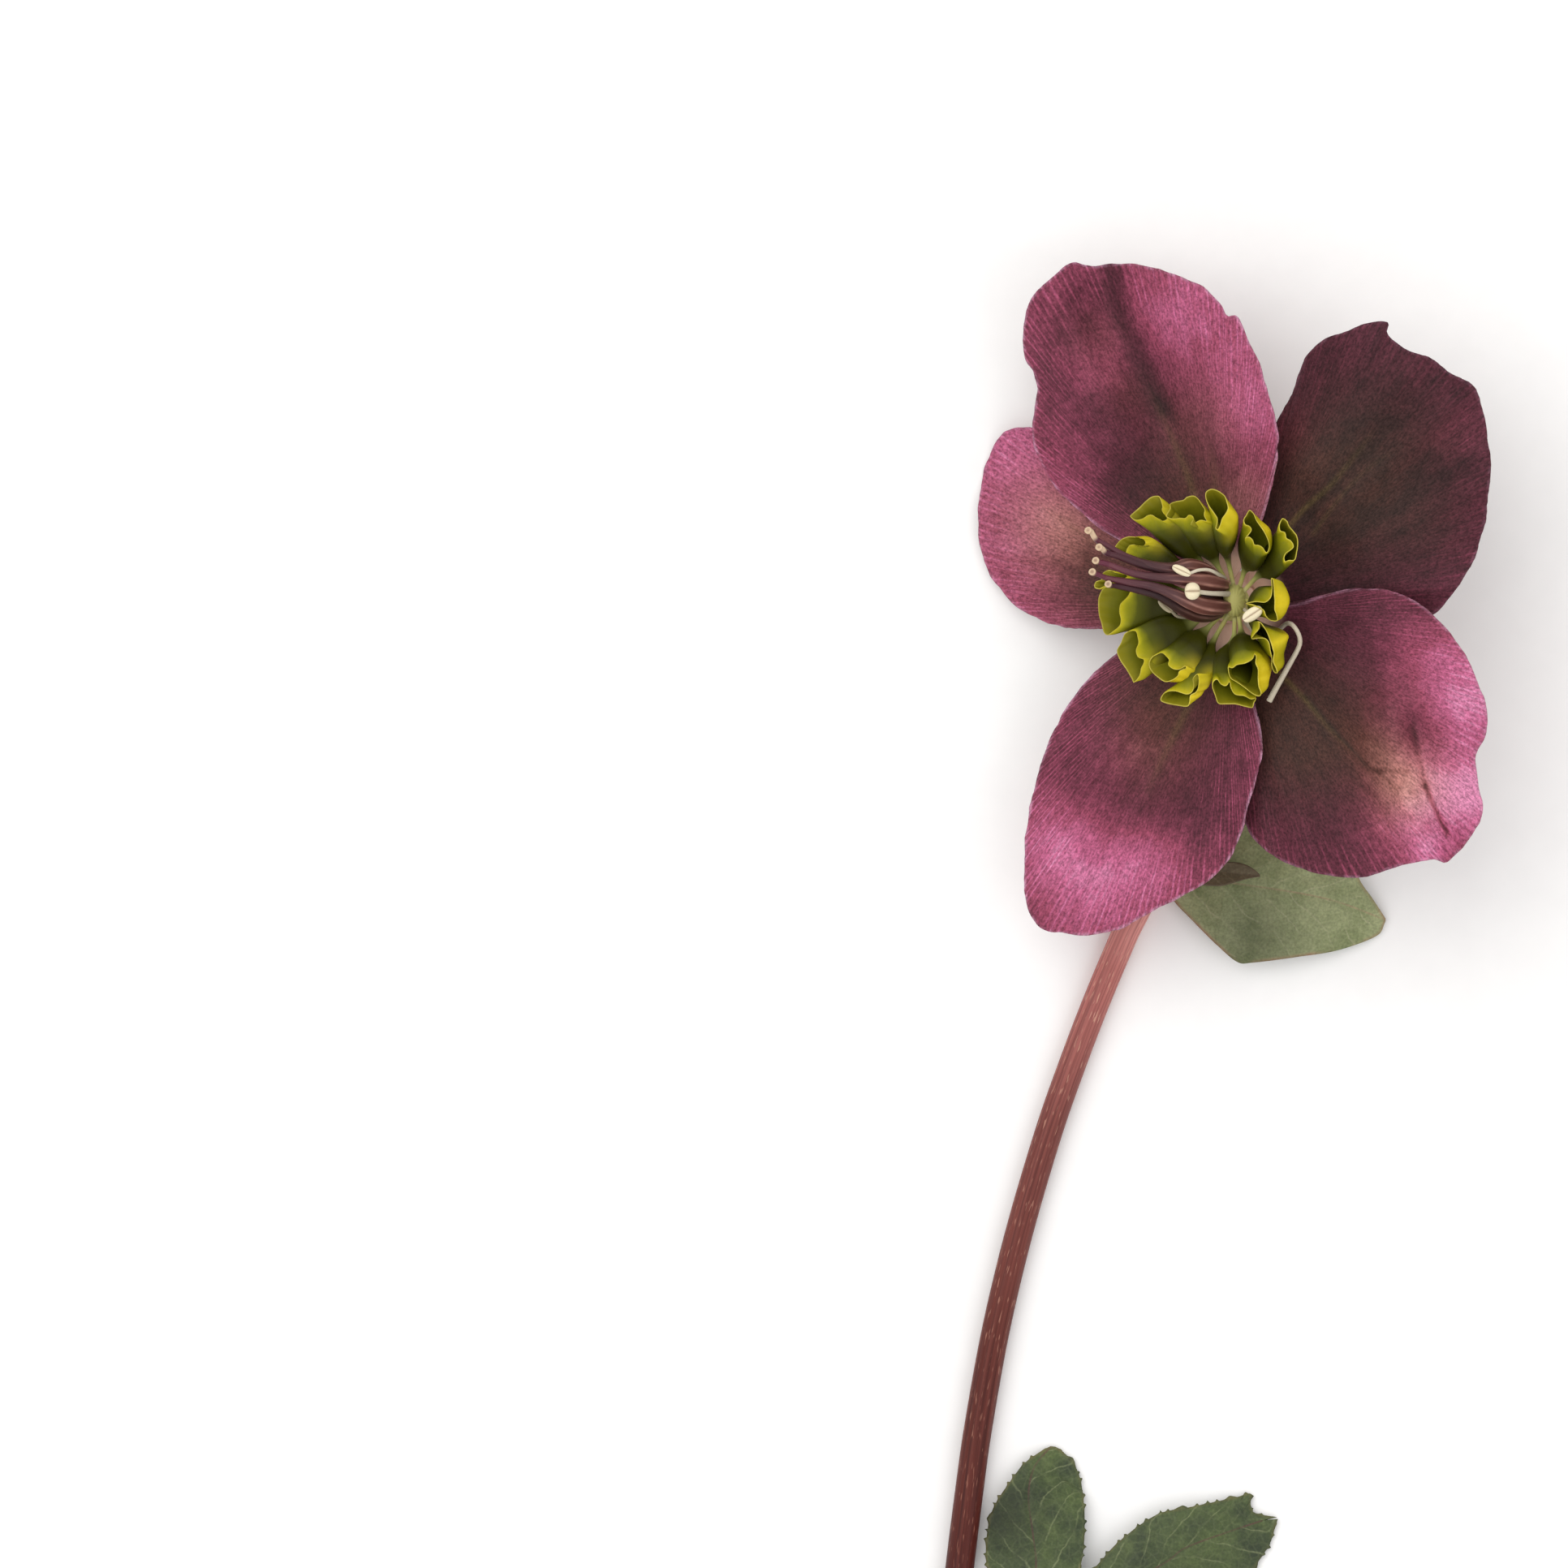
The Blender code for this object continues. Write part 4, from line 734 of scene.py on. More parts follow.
def skin(rings):
    """Verts and faces of a closed loft through rings with the same number of points."""
    sides = len(rings[0])
    verts = np.array(rings, float).reshape(-1, 3)
    faces = []
    for r in range(len(rings) - 1):
        for s in range(sides):
            a, b = r * sides + s, r * sides + (s + 1) % sides
            faces.append((a, b, b + sides, a + sides))
    first = len(verts)
    last = first - sides
    verts = np.vstack([verts, np.mean(rings[0], axis=0), np.mean(rings[-1], axis=0)])
    for s in range(sides):
        t = (s + 1) % sides
        faces.append((t, s, first))
        faces.append((last + s, last + t, first + 1))
    return verts, faces


def tube_rings(line, sizes, sides, start=(0.0, 1.0, 0.2), shape=None):
    """Rings round a line; shape gives a factor on the radius from the turn and the share along."""
    share = np.linspace(0.0, 1.0, len(line))
    radius = np.interp(share, np.linspace(0.0, 1.0, len(sizes)), sizes)
    turns = around(sides)
    rings = []
    for point, (u, v), r, t in zip(line, frames(line, start), radius, share):
        size = r * (shape(turns, t) if shape else np.ones(sides))
        rings.append(point + oval(turns, u, v, size, size))
    return rings


def turned_body(profile):
    """Verts and faces of a body turned round the bloom's axis, from its heights and radii."""
    turns = around(ROUND_SIDES)
    return skin([np.array([from_bloom(r * math.cos(a), r * math.sin(a), h) for a in turns])
                 for h, r in profile])


def gather(parts):
    """Joins several lofts, each with the values to store, into one."""
    verts, faces, values = [], [], {}
    count = 0
    for part_verts, part_faces, part_values in parts:
        verts.append(part_verts)
        faces += [tuple(i + count for i in f) for f in part_faces]
        for key, value in part_values.items():
            values.setdefault(key, []).append(np.ones(len(part_verts)) * value)
        count += len(part_verts)
    return np.vstack(verts), faces, {key: np.concatenate(v) for key, v in values.items()}


def sepal_tissue():
    """Sepal tissue, grown: velvety plum and rose skin with fine raised veins and a pale thin rim."""
    made, tree, blush_and_painted_shading, brown, margin, claw, olive, pale, under = start_material(
        "velvety sepal tissue", "blush_and_painted_shading", "brown", "margin", "claw", "olive", "pale", "under")
    uv = add(tree, "UVMap", {}, uv_map="grow")
    place = add(tree, "TexCoord", {}, "Object")
    mottle = add(tree, "TexNoise", cloud(place, grain(2.2), 6.0, 0.7))
    # The real velvet is finer than 0.1 mm. It is drawn at 0.3 mm so that it shows.
    velvet = add(tree, "TexNoise", cloud(place, grain(0.3), 2.0, 0.7))
    woven, stretched, ruled, broad = (
        add(tree, "Mapping", {"Vector": uv, "Scale": grown(across, along)})
        for across, along in ((3.4, 1.1), (1.5, 0.14), (0.35, 0.06), (0.34, 0.09)))
    weave = add(tree, "TexNoise", cloud(woven, 1.0, 2.0, 0.6))
    streak = add(tree, "TexNoise", cloud(stretched, 1.0, 1.5, 0.4, 0.35))
    brush = add(tree, "TexNoise", cloud(broad, 1.0, 5.0, 0.65))
    # The wave repeats every 0.3 of a unit, so this gives a pale vein every 0.9 mm of the margin.
    veins = add(tree, "TexWave", {"Vector": ruled, "Scale": 1.0, "Distortion": 3.2, "Detail": 2.0,
                                  "Detail Scale": 1.2, "Detail Roughness": 0.6}, "Fac")
    broken = add(tree, "MapRange", span(streak, 0.4, 0.6, 0.15, 1.0))
    near_rim = add(tree, "MapRange", span(margin, 1.0, 8.0, 1.0, 0.04),
                   interpolation_type="SMOOTHSTEP")
    lines = product(tree, add(tree, "MapRange", span(veins, 0.5, 1.0, 0.0, 1.0)), broken, near_rim,
                    weighed(tree, 0.35, (pale, 0.65)))
    # The stored pink share carries painted light and shade as well as the sepal's own pink.
    # The mottle and the brush both lie round a half, so 0.32 takes their middle off again.
    share = weighed(tree, blush_and_painted_shading, (mottle, 0.34), (brush, 0.3), (lines, 0.25))
    share = add(tree, "Math", {0: share, 1: 0.32}, operation="SUBTRACT", use_clamp=True)
    share = add(tree, "Math", {0: share, 1: 0.92}, operation="MINIMUM")
    plum = add(tree, "ValToRGB", {"Fac": share}, stops=[
        (0.0, "#341c21"), (0.25, "#5c2a38"), (0.5, "#92445c"), (0.75, "#b86084"), (1.0, "#d68cb0")])
    earth = add(tree, "ValToRGB", {"Fac": share}, stops=[
        (0.0, "#3a2b25"), (0.35, "#5e3c30"), (0.7, "#ab7668"), (1.0, "#cc9c8c")])
    edge = add(tree, "MapRange", span(margin, 0.05, 0.35, 0.65, 0.0))
    speck = weighed(tree, 0.0, (velvet, 0.5), (weave, 0.5))
    dust = add(tree, "MapRange", span(speck, 0.38, 0.62, 0.58, 1.46))
    colour = coated(tree, plum, (product(tree, brown, 0.85), earth), (olive, "#75643a"),
                    (product(tree, edge, pale, broken), "#c99bb4"),
                    (product(tree, under, 0.35), "#a88a7c"), (1.0, dust, "MULTIPLY"),
                    (product(tree, claw, 0.85), "#f2c8b0"))
    height = weighed(tree, 0.0, (lines, 0.5), (speck, 0.5), (brush, 0.5))
    return end_material(made, colour, {"Roughness": 0.52, "Specular IOR Level": 0.13,
                                       "Sheen Weight": 0.03, "Sheen Roughness": 0.4},
                        height, 0.6, 0.12, glow=0.1)


def nectary_wax():
    """Nectary tissue, grown: waxy olive funnels whose thin lips turn sulphur yellow."""
    made, tree, rise, inside, lip_yellow_and_painted_light = start_material("waxy nectary tissue", "rise", "inside", "lip_yellow_and_painted_light")
    place = add(tree, "TexCoord", {}, "Object")
    mottle = add(tree, "TexNoise", cloud(place, grain(1.6), 4.0))
    fine = add(tree, "TexNoise", cloud(place, grain(0.25), 3.0))
    level = add(tree, "Math", {0: weighed(tree, rise, (mottle, 0.06)), 1: 0.03},
                operation="SUBTRACT", use_clamp=True)
    outer = add(tree, "ValToRGB", {"Fac": level}, stops=[
        (0.0, "#dcd8a4"), (0.12, "#ccc478"), (0.24, "#aeb066"), (0.38, "#3f400a"),
        (0.62, "#343306"), (0.82, "#51530a"), (0.92, "#8c8a10"), (1.0, "#c2b41c")])
    # The inner skin is a paler olive than the outer, raised further to offset the shade deep in the
    # funnels: partly painted light.
    inner = add(tree, "ValToRGB", {"Fac": level}, stops=[
        (0.0, "#7c8420"), (0.6, "#7c8018"), (0.88, "#727012"), (1.0, "#8f861a")])
    sulphur = coated(tree, "#c6b014", (mottle, "#f2d82c"))
    lip = product(tree, add(tree, "MapRange", span(rise, 0.988, 1.0, 0.0, 1.0)), mottle)
    # The sulphur yellow lies on the lips' bulging outer faces: partly their own yellow, partly painted
    # light.
    colour = coated(tree, outer, (inside, inner), (lip_yellow_and_painted_light, sulphur), (lip, "#e8d868"))
    return end_material(made, colour, {"Roughness": 0.42, "Specular IOR Level": 0.14},
                        fine, 0.25, 0.05, glow=0.12)


def carpel_skin():
    """Carpel tissue, grown: ribbed brown pods, maroon styles and pale curled stigmas."""
    made, tree, rise, ridge, shade, tip = start_material(
        "ribbed carpel tissue", "rise", "ridge", "shade", "tip")
    # Fibres: 14 round the pod, and nine along its length.
    long_grain = add(tree, "Mapping", {"Vector": add(tree, "UVMap", {}, uv_map="grow"),
                                       "Scale": (14.0, 3.0, 1.0)})
    fibre = add(tree, "TexNoise", cloud(long_grain, 1.0, 4.0))
    body = add(tree, "ValToRGB", {"Fac": rise}, stops=[
        (0.0, "#6b4a3a"), (0.05, "#552e28"), (0.26, "#623730"), (0.4, "#48292e"), (0.6, "#3d1d28"),
        (1.0, "#602638")])
    # This lighter colour goes on the ribs' crests as a painted highlight.
    light = coated(tree, "#84544a", (fibre, "#c49284"))
    stigma = coated(tree, "#b8937c", (fibre, "#e0cba6"))
    # The stored shade darkens or lightens each carpel as painted light and shade.
    colour = coated(tree, body, (product(tree, ridge, fibre, 1.35), light),
                    (1.0, shade, "MULTIPLY"), (tip, stigma))
    return end_material(made, colour, {"Roughness": 0.4, "Specular IOR Level": 0.32},
                        fibre, 0.5, 0.08)


def stamen_skin():
    """Stamen tissue, grown: ivory filaments and creamy pollen sacs with a fine powdery grain."""
    made, tree, sac, groove, shade = start_material("powdery stamen tissue", "sac", "groove", "shade")
    # Pollen grains are about 0.03 mm. The powder is drawn at 0.12 mm so that it shows.
    powder = add(tree, "TexNoise", cloud(add(tree, "TexCoord", {}, "Object"), grain(0.12), 3.0))
    thread = coated(tree, "#b9ab92", (powder, "#e6dcc8"))
    cream = coated(tree, "#dccba4", (powder, "#f4ebcf"))
    lit = coated(tree, thread, (sac, cream), (product(tree, groove, 0.85), "#8a6a50"))
    # The stored shade turns the colour towards dark olive, as painted shade.
    return end_material(made, coated(tree, "#5e5030", (shade, lit)),
                        {"Roughness": 0.6, "Specular IOR Level": 0.3}, powder, 0.4, 0.04)


def stem_skin():
    """Stem skin, grown: smooth red-brown rind with short pale dashes that run lengthwise."""
    made, tree, along = start_material("dashed stem rind", "along")
    uv = add(tree, "UVMap", {}, uv_map="grow")
    # The stem's coordinates are millimetres: dashes 0.2 mm wide and 2 mm long, streaks 25 mm long.
    dashes, lengthwise = (add(tree, "Mapping", {"Vector": uv, "Scale": counts})
                          for counts in ((4.6, 0.5, 1.0), (3.0, 0.04, 1.0)))
    speck = add(tree, "TexNoise", cloud(dashes, 1.0, 1.0))
    streak = add(tree, "TexNoise", cloud(lengthwise, 1.0, 3.0))
    base = add(tree, "ValToRGB", {"Fac": along}, stops=[
        (0.0, "#905248"), (0.3, "#d08884"), (0.35, "#c67d79"), (0.38, "#a85e5b"),
        (0.52, "#682c2a"), (0.69, "#541814"), (0.9, "#420806")])
    light = add(tree, "ValToRGB", {"Fac": along}, stops=[
        (0.0, "#c99a80"), (0.33, "#dca994"), (0.5, "#ac7a68"), (1.0, "#7e4634")])
    mark = add(tree, "MapRange", span(speck, 0.62, 0.72, 0.0, 0.8), interpolation_type="SMOOTHSTEP")
    fibre = add(tree, "MapRange", span(streak, 0.35, 0.6, 0.68, 1.12))
    colour = coated(tree, base, (product(tree, streak, 0.22), light), (1.0, fibre, "MULTIPLY"),
                    (mark, light))
    return end_material(made, colour, {"Roughness": 0.42, "Specular IOR Level": 0.2},
                        weighed(tree, streak, (mark, 0.5)), 0.35, 0.1)


def vein_lines(tree, place, pitch):
    """Fine side veins that slant off the rib, and the rib itself, both from 0 to 1."""
    uv = add(tree, "UVMap", {}, uv_map="grow")
    side, run = (product(tree, add(tree, "SeparateXYZ", {"Vector": uv}, axis), SHEET_UV)
                 for axis in (0, 1))
    far = add(tree, "Math", {0: side}, operation="ABSOLUTE")
    right = add(tree, "Math", {0: side, 1: 0.0}, operation="GREATER_THAN")
    wander = add(tree, "TexNoise", cloud(place, grain(5.0), 3.0))
    lead = weighed(tree, 0.0, (run, 1.0 / pitch), (far, -VEIN_SLANT / pitch), (right, VEIN_STAGGER),
                   (wander, 0.9))
    gap = add(tree, "Math", {0: lead, 1: 0.5}, operation="PINGPONG")
    broken = add(tree, "TexNoise", cloud(place, grain(2.6), 2.0))
    broken = add(tree, "MapRange", span(broken, 0.4, 0.56, 0.15, 1.0))
    veins = add(tree, "MapRange", span(gap, 0.04 / pitch, 0.24 / pitch, 1.0, 0.0))
    rib = add(tree, "MapRange", span(far, 0.05, 0.18, 1.0, 0.0))
    return product(tree, veins, broken), product(tree, rib, weighed(tree, 0.5, (broken, 0.5)))


def leaf_skin(name, pitch, deep, light, vein, rim, warm):
    """Leaf tissue, grown: satin green blade, sunken veins and a fine net between them."""
    made, tree, margin, shade = start_material(name, "margin", "shade")
    place = add(tree, "TexCoord", {}, "Object")
    veins, rib = vein_lines(tree, place, pitch)
    mottle = add(tree, "TexNoise", cloud(place, grain(3.5), 5.0, 0.6))
    cells = add(tree, "TexVoronoi", {"Vector": place, "Scale": grain(1.3)}, "Distance",
                feature="DISTANCE_TO_EDGE")
    fine = add(tree, "TexNoise", cloud(place, grain(0.3), 3.0))
    net = add(tree, "MapRange", span(cells, 0.0, 0.12, 1.0, 0.0))
    spread = add(tree, "MapRange", span(mottle, 0.32, 0.68, 0.0, 1.0))
    dust = add(tree, "MapRange", span(fine, 0.3, 0.7, 0.8, 1.2))
    edge = add(tree, "MapRange", span(margin, 0.08, 0.45, 0.8, 0.0))
    colour = coated(tree, deep, (spread, light), (product(tree, net, 0.1), vein),
                    (product(tree, veins, 0.42), vein), (product(tree, rib, 0.7), warm),
                    (1.0, dust, "MULTIPLY"), (shade, "#000000"), (product(tree, edge, spread), rim))
    return end_material(made, colour, {"Roughness": 0.48, "Specular IOR Level": 0.25},
                        weighed(tree, 0.0, (fine, 0.3), (net, -0.4)), 0.4, 0.08)


def floor_paper():
    """Matte white paper sweep: no texture to see, only a soft shadow."""
    made, tree = start_material("white backdrop paper")
    pulp = add(tree, "TexNoise", cloud(add(tree, "TexCoord", {}, "Object"), grain(4.0), 3.0))
    return end_material(made, coated(tree, "#f6f5f4", (pulp, "#fbfaf9")),
                        {"Roughness": 0.9, "Specular IOR Level": 0.1})


def make_camera():
    """Looks straight down on the flower, framed as the photograph is."""
    eye = bpy.data.cameras.new("camera")
    eye.lens = LENS
    eye.sensor_width = SENSOR
    eye.clip_end = FAR_CLIP
    made = bpy.data.objects.new("camera", eye)
    distance = LENS / SENSOR * PHOTO_WIDTH + SHARP_HEIGHT
    middle = [(a + b) * MM for a, b in zip(PHOTO_MIDDLE, BLOOM_MIDDLE)]
    made.location = (*middle, distance * MM)
    bpy.context.scene.collection.objects.link(made)
    bpy.context.scene.camera = made


def area_light(name, place, target, size, power, colour):
    """A round soft lamp that points at its target."""
    lamp = bpy.data.lights.new(name, "AREA")
    lamp.shape = "DISK"
    lamp.size = size
    lamp.energy = power
    lamp.color = colour
    made = bpy.data.objects.new(name, lamp)
    made.location = place
    made.rotation_euler = (Vector(target) - Vector(place)).to_track_quat("-Z", "Y").to_euler()
    bpy.context.scene.collection.objects.link(made)


def make_studio():
    """White paper floor, a large soft key from the upper left and an even white room."""
    scene = bpy.context.scene
    world = bpy.data.worlds.new("white room")
    world.use_nodes = True
    room = world.node_tree.nodes["Background"].inputs
    room[0].default_value = (1.0, 1.0, 1.0, 1.0)
    room[1].default_value = ROOM_LIGHT
    scene.world = world
    for name, lamp in LAMPS.items():
        area_light(name, *lamp)
    scene.view_settings.view_transform = "Standard"
    data = bpy.data.meshes.new("floor")
    corners = [(x * FLOOR_HALF, y * FLOOR_HALF, 0) for x, y in ((-1, -1), (1, -1), (1, 1), (-1, 1))]
    data.from_pydata(corners, [], [(0, 1, 2, 3)])
    data.materials.append(floor_paper())
    floor = bpy.data.objects.new("floor", data)
    scene.collection.objects.link(floor)


def filled(left, right, base, tip):
    """Plan points of a sheet between its two sides, its base and its tip."""
    u = np.linspace(0.0, 1.0, len(tip))[None, :, None]
    v = np.linspace(0.0, 1.0, len(left))[:, None, None]
    corners = ((1 - u) * (1 - v) * base[0] + u * (1 - v) * base[-1]
               + (1 - u) * v * tip[0] + u * v * tip[-1])
    return (1 - v) * base + v * tip + (1 - u) * left[:, None] + u * right[:, None] - corners


def make_sepal(name, surface):
    """One sepal: lines fan out from its claw to the waved margin, as its veins do."""
    sepal = SEPALS[name]
    seed = sum(ord(c) for c in name)
    rows, columns = SEPAL_ROWS, SEPAL_COLUMNS
    turns = [math.radians(sepal["angle"] + s * CLAW_HALF_ANGLE) for s in (1, 0.33, -0.33, -1)]
    claw = np.array([from_bloom(CLAW_RADIUS * math.cos(a), CLAW_RADIUS * math.sin(a),
                                sepal["layer"] * LAYER)[:2] for a in turns])
    edge = smooth_line([claw[0], *sepal["outline"], claw[3]], EDGE_STEPS)
    first, last = ((i + 1) * EDGE_STEPS for i in sepal["shoulders"])
    tip = evenly(edge[first:last + 1], columns)
    run = np.linspace(0.0, line_length(tip), columns)
    wave = sum(height * waves(run, seed + i, pitch) for i, (height, pitch) in enumerate(MARGIN_WAVES))
    taper = np.clip(np.minimum(run, run[-1] - run) / WAVE_TAPER, 0.0, 1.0)
    tip = tip + outward(tip) * (wave * taper)[:, None]
    plan = filled(evenly(edge[:first + 1], rows), evenly(edge[last:][::-1], rows),
                  evenly(claw, columns), tip)
    flat = plan.reshape(-1, 2)
    margin = nearest(flat, edge[::2])[0]
    reach = np.hypot(flat[:, 0], flat[:, 1])
    across = np.tile(run, rows)
    along = np.repeat(np.linspace(0.0, 1.0, rows), columns)
    loose = np.clip(reach / 14.0 - 0.6, 0.0, 1.0)
    height = sepal_height(sepal, flat)
    for i, (lift, pitch, power) in enumerate(SURFACE_WAVES):
        height = height + lift * waves(across, seed + 2 + i, pitch) * along ** power * loose
    # The pink share takes in the pink spots, which are partly painted light and shade, and the crease
    # lines, which are painted shade.
    blush_and_painted_shading = (sepal["ground"] + sepal["rim_pink"] * np.exp(-margin / RIM_PINK_WIDTH)
             + spots(flat, sepal["blush_and_painted_shading"]) + streaks(flat, sepal["crease_shade"]))
    thick = SEPAL_RIM + SEPAL_SWELL * np.clip(margin / SWELL_WIDTH, 0.0, 1.0)
    made = sheet_piece(
        name + "_skin", np.column_stack([flat, height]).reshape(rows, columns, 3), thick, surface,
        np.stack([across, along * SEPAL_LENGTH], axis=1) / SHEET_UV, {
            "margin": margin, "blush_and_painted_shading": np.clip(blush_and_painted_shading, 0, 1),
            "brown": np.clip(spots(flat, sepal["brown"]), 0, 1),
            "claw": np.clip(1.0 - (reach - sepal["claw_reach"]) / CLAW_FADE, 0.0, 1.0),
            "olive": streaks(flat, sepal["olive"], fading=1.0),
            "pale": np.full(len(flat), sepal["pale_rim"])})
    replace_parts(made, name)


def make_calyx_base(surface):
    """The low flare behind the sepals where their claws join the stalk."""
    verts, faces = turned_body([(-2.6, 0.8), (-2.7, 2.0), (-2.5, 3.7), (-2.3, 3.8), (-2.1, 3.6),
                                (-1.6, 2.4), (0.4, 2.25), (0.5, 0.8)])
    made = mesh_piece("calyx_base", verts, faces, surface, np.zeros((len(verts), 2)), {
        "blush_and_painted_shading": 0.45, "brown": 0.3, "margin": 9.0, "claw": 1.0, "olive": 0.0, "pale": 0.0,
        "under": 0.0})


def even_ring(points, count):
    """A closed outline, counter-clockwise, with points at equal steps."""
    points = np.array(points, float)
    following = np.roll(points, -1, axis=0)
    if np.sum(points[:, 0] * following[:, 1] - points[:, 1] * following[:, 0]) < 0:
        points = points[::-1]
    closed = smooth_line(np.vstack([points[-1:], points, points[:2]]), 8)[8:-8]
    return evenly(closed, count + 1)[:count]


def turned(vectors, start, end):
    """Vectors turned by the rotation that takes one direction to another."""
    turn = np.array(Vector(start).rotation_difference(Vector(end)).to_matrix())
    return vectors @ turn.T


def step_up(value, low, high):
    """Smooth step from nought at low to one at high."""
    share = min(max((value - low) / (high - low), 0.0), 1.0)
    return share * share * (3.0 - 2.0 * share)


def nectary_stalk(index, x, y):
    """The foot, the bend and the mouth of a nectary whose mouth is seen at this plan point."""
    mouth = np.array(from_bloom((x + NECTARY_MOUTH * SIN_T) / COS_T, y, NECTARY_MOUTH))
    # The feet stand in an even ring, shifted by part of the way to where the mouth is.
    even = 2 * math.pi * index / len(NECTARIES)
    gap = (math.atan2(y - 0.3, x + 0.1) - even + math.pi) % (2 * math.pi) - math.pi
    turn = even + 0.6 * gap
    foot = np.array(from_bloom(0.9 + 1.5 * math.cos(turn), 0.3 + 1.5 * math.sin(turn), 2.2))
    bend = foot + (mouth - foot) * (0.6, 0.6, 0.25) + (0.0, 0.0, 1.2)
    return foot, bend, mouth


def nectary_loft(index):
    """A funnel on a thin stalk, whose crumpled lip follows the rim seen from above."""
    spec = NECTARIES[index]
    rng = random.Random(NECTARY_SEED + index)
    rim = even_ring([(RIM_CORNER[0] + RIM_STEP * x, RIM_CORNER[1] - RIM_STEP * y)
                     for x, y in spec["rim"]], NECTARY_SIDES)
    middle = rim.mean(axis=0)
    foot, bend, mouth = nectary_stalk(index, *middle)
    angle, size = math.radians(spec["roll"][0]), spec["roll"][1]
    roll = np.array((math.cos(angle), math.sin(angle), 0.0))
    facing = unit(0.35 * unit((mouth - foot) * (1, 1, 0)) - 0.28 * roll * size + (0, 0, 1))
    turns = around(NECTARY_SIDES)
    frill = np.zeros((NECTARY_SIDES, 3))
    frill[:, :2] = rim - middle
    wave = (0.14 * np.sin(rng.choice((3, 4)) * turns + rng.uniform(0, 6.28))
            + 0.07 * np.sin(rng.choice((9, 11, 13)) * turns + rng.uniform(0, 6.28)))
    frill[:, 2] = -(frill[:, :2] @ facing[:2]) / facing[2] + wave
    # The lip passes below into the oval that fits it best, and that into the round stalk.
    cos_part = 2.0 * (frill * np.cos(turns)[:, None]).mean(axis=0)
    sin_part = 2.0 * (frill * np.sin(turns)[:, None]).mean(axis=0)
    funnel = oval(turns, cos_part, sin_part)
    first = unit(cos_part)
    second = np.cross(facing, first)
    disc = oval(turns, first, second if float(second @ sin_part) >= 0.0 else -second)
    bulge = np.clip(funnel @ roll / (np.linalg.norm(funnel, axis=1) + TINY), 0.0, 1.0)

    def ring(t):
        centre = (1 - t) ** 2 * foot + 2 * t * (1 - t) * bend + t * t * mouth
        slope = unit(2 * (1 - t) * (bend - foot) + 2 * t * (mouth - bend))
        way = unit(slope * (1 - t ** 3) + facing * t ** 3)
        width = 0.55 + 0.48 * step_up(t, 0.25, 0.62)
        grown_up, crumple = step_up(t, 0.2, 0.5), step_up(t, 0.78, 1.0)
        shape = disc * 0.27 * (1 - grown_up) + funnel * width * grown_up
        shape = shape * (1 - crumple) + frill * crumple
        swell = size * step_up(t, 0.35, 0.85) * (1.0 - 0.95 * step_up(t, 0.9, 1.0))
        shape = shape + roll * (swell * bulge ** 0.5)[:, None]
        return centre + turned(shape, tuple(facing), tuple(way))

    # The inner skin follows the outer one down to this row, where the funnel has its floor.
    deepest = 10
    steps = np.concatenate([np.linspace(0, 0.8, 22)[:-1], np.linspace(0.8, 1.0, 12)])
    outer = np.array([ring(t) for t in steps])
    sideways = np.roll(outer, -1, axis=1) - np.roll(outer, 1, axis=1)
    normal = np.cross(sideways, np.gradient(outer, axis=0))
    for _ in range(4):
        normal = normal / (np.linalg.norm(normal, axis=2)[:, :, None] + TINY)
        normal = (np.roll(normal, 1, axis=1) + 2.0 * normal + np.roll(normal, -1, axis=1)) / 4.0
    bead = [outer[-1] - NECTARY_WALL * (share * normal[-1] - 0.4 * facing) for share in (0.25, 0.75)]
    inner = (outer - NECTARY_WALL * normal)[:deepest:-1]
    verts, faces = skin([*outer, *bead, *inner])
    rises = np.concatenate([steps, [1.0, 1.0], steps[:deepest:-1]])
    insides = np.concatenate([np.zeros(len(steps)), [0.2, 0.8], np.ones(len(inner))])
    # The yellow is strongest on the outer faces where a lip bulges, most of which face right: the lips'
    # own yellow with painted light on those faces.
    lit_bulge = min(size, 1.0) ** 2 * bulge ** 1.3
    lip_yellow_and_painted_light = [lit_bulge * step_up(t, 0.62, 0.9) * (1.0 - hidden) for t, hidden in zip(rises, insides)]
    return verts, faces, {"rise": np.append(np.repeat(rises, NECTARY_SIDES), [0.0, 0.5]),
                          "inside": np.append(np.repeat(insides, NECTARY_SIDES), [0.0, 1.0]),
                          "lip_yellow_and_painted_light": np.append(np.concatenate(lip_yellow_and_painted_light), [0, 0])}


def make_nectaries(surface):
    """The ring of nectaries, the disc they stand on and the pale dome in its middle."""
    verts, faces, values = gather([nectary_loft(i) for i in range(len(NECTARIES))])
    made = mesh_piece("nectary_ring", verts, faces, surface, None, values)
    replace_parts(made, "nectaries")
    disc = turned_body([(-2.5, 0.8), (-2.45, 1.5), (-2.2, 2.05), (-1.0, 2.2), (1.0, 2.2), (1.8, 2.1),
                        (2.2, 1.6), (2.3, 0.7)])
    turns = around(ROUND_SIDES)
    fluted = 1.0 + 0.05 * np.cos(len(NECTARIES) * turns)
    dome = skin([tilted_ring(turns, (0.03, 0.2, z), 0.84 * r * fluted, 1.2 * r * fluted, 0.12 * r)
                 for z, r in ((17.4, 1.5), (18.4, 1.65), (19.3, 1.66), (20.0, 1.56), (20.6, 1.28),
                              (20.95, 0.85), (21.1, 0.4))])
    verts, faces, _ = gather([(*disc, {}), (*dome, {})])
    made = mesh_piece("receptacle_dome", verts, faces, surface, None,
                      {"rise": 0.15, "inside": 0.0, "lip_yellow_and_painted_light": 0.0})


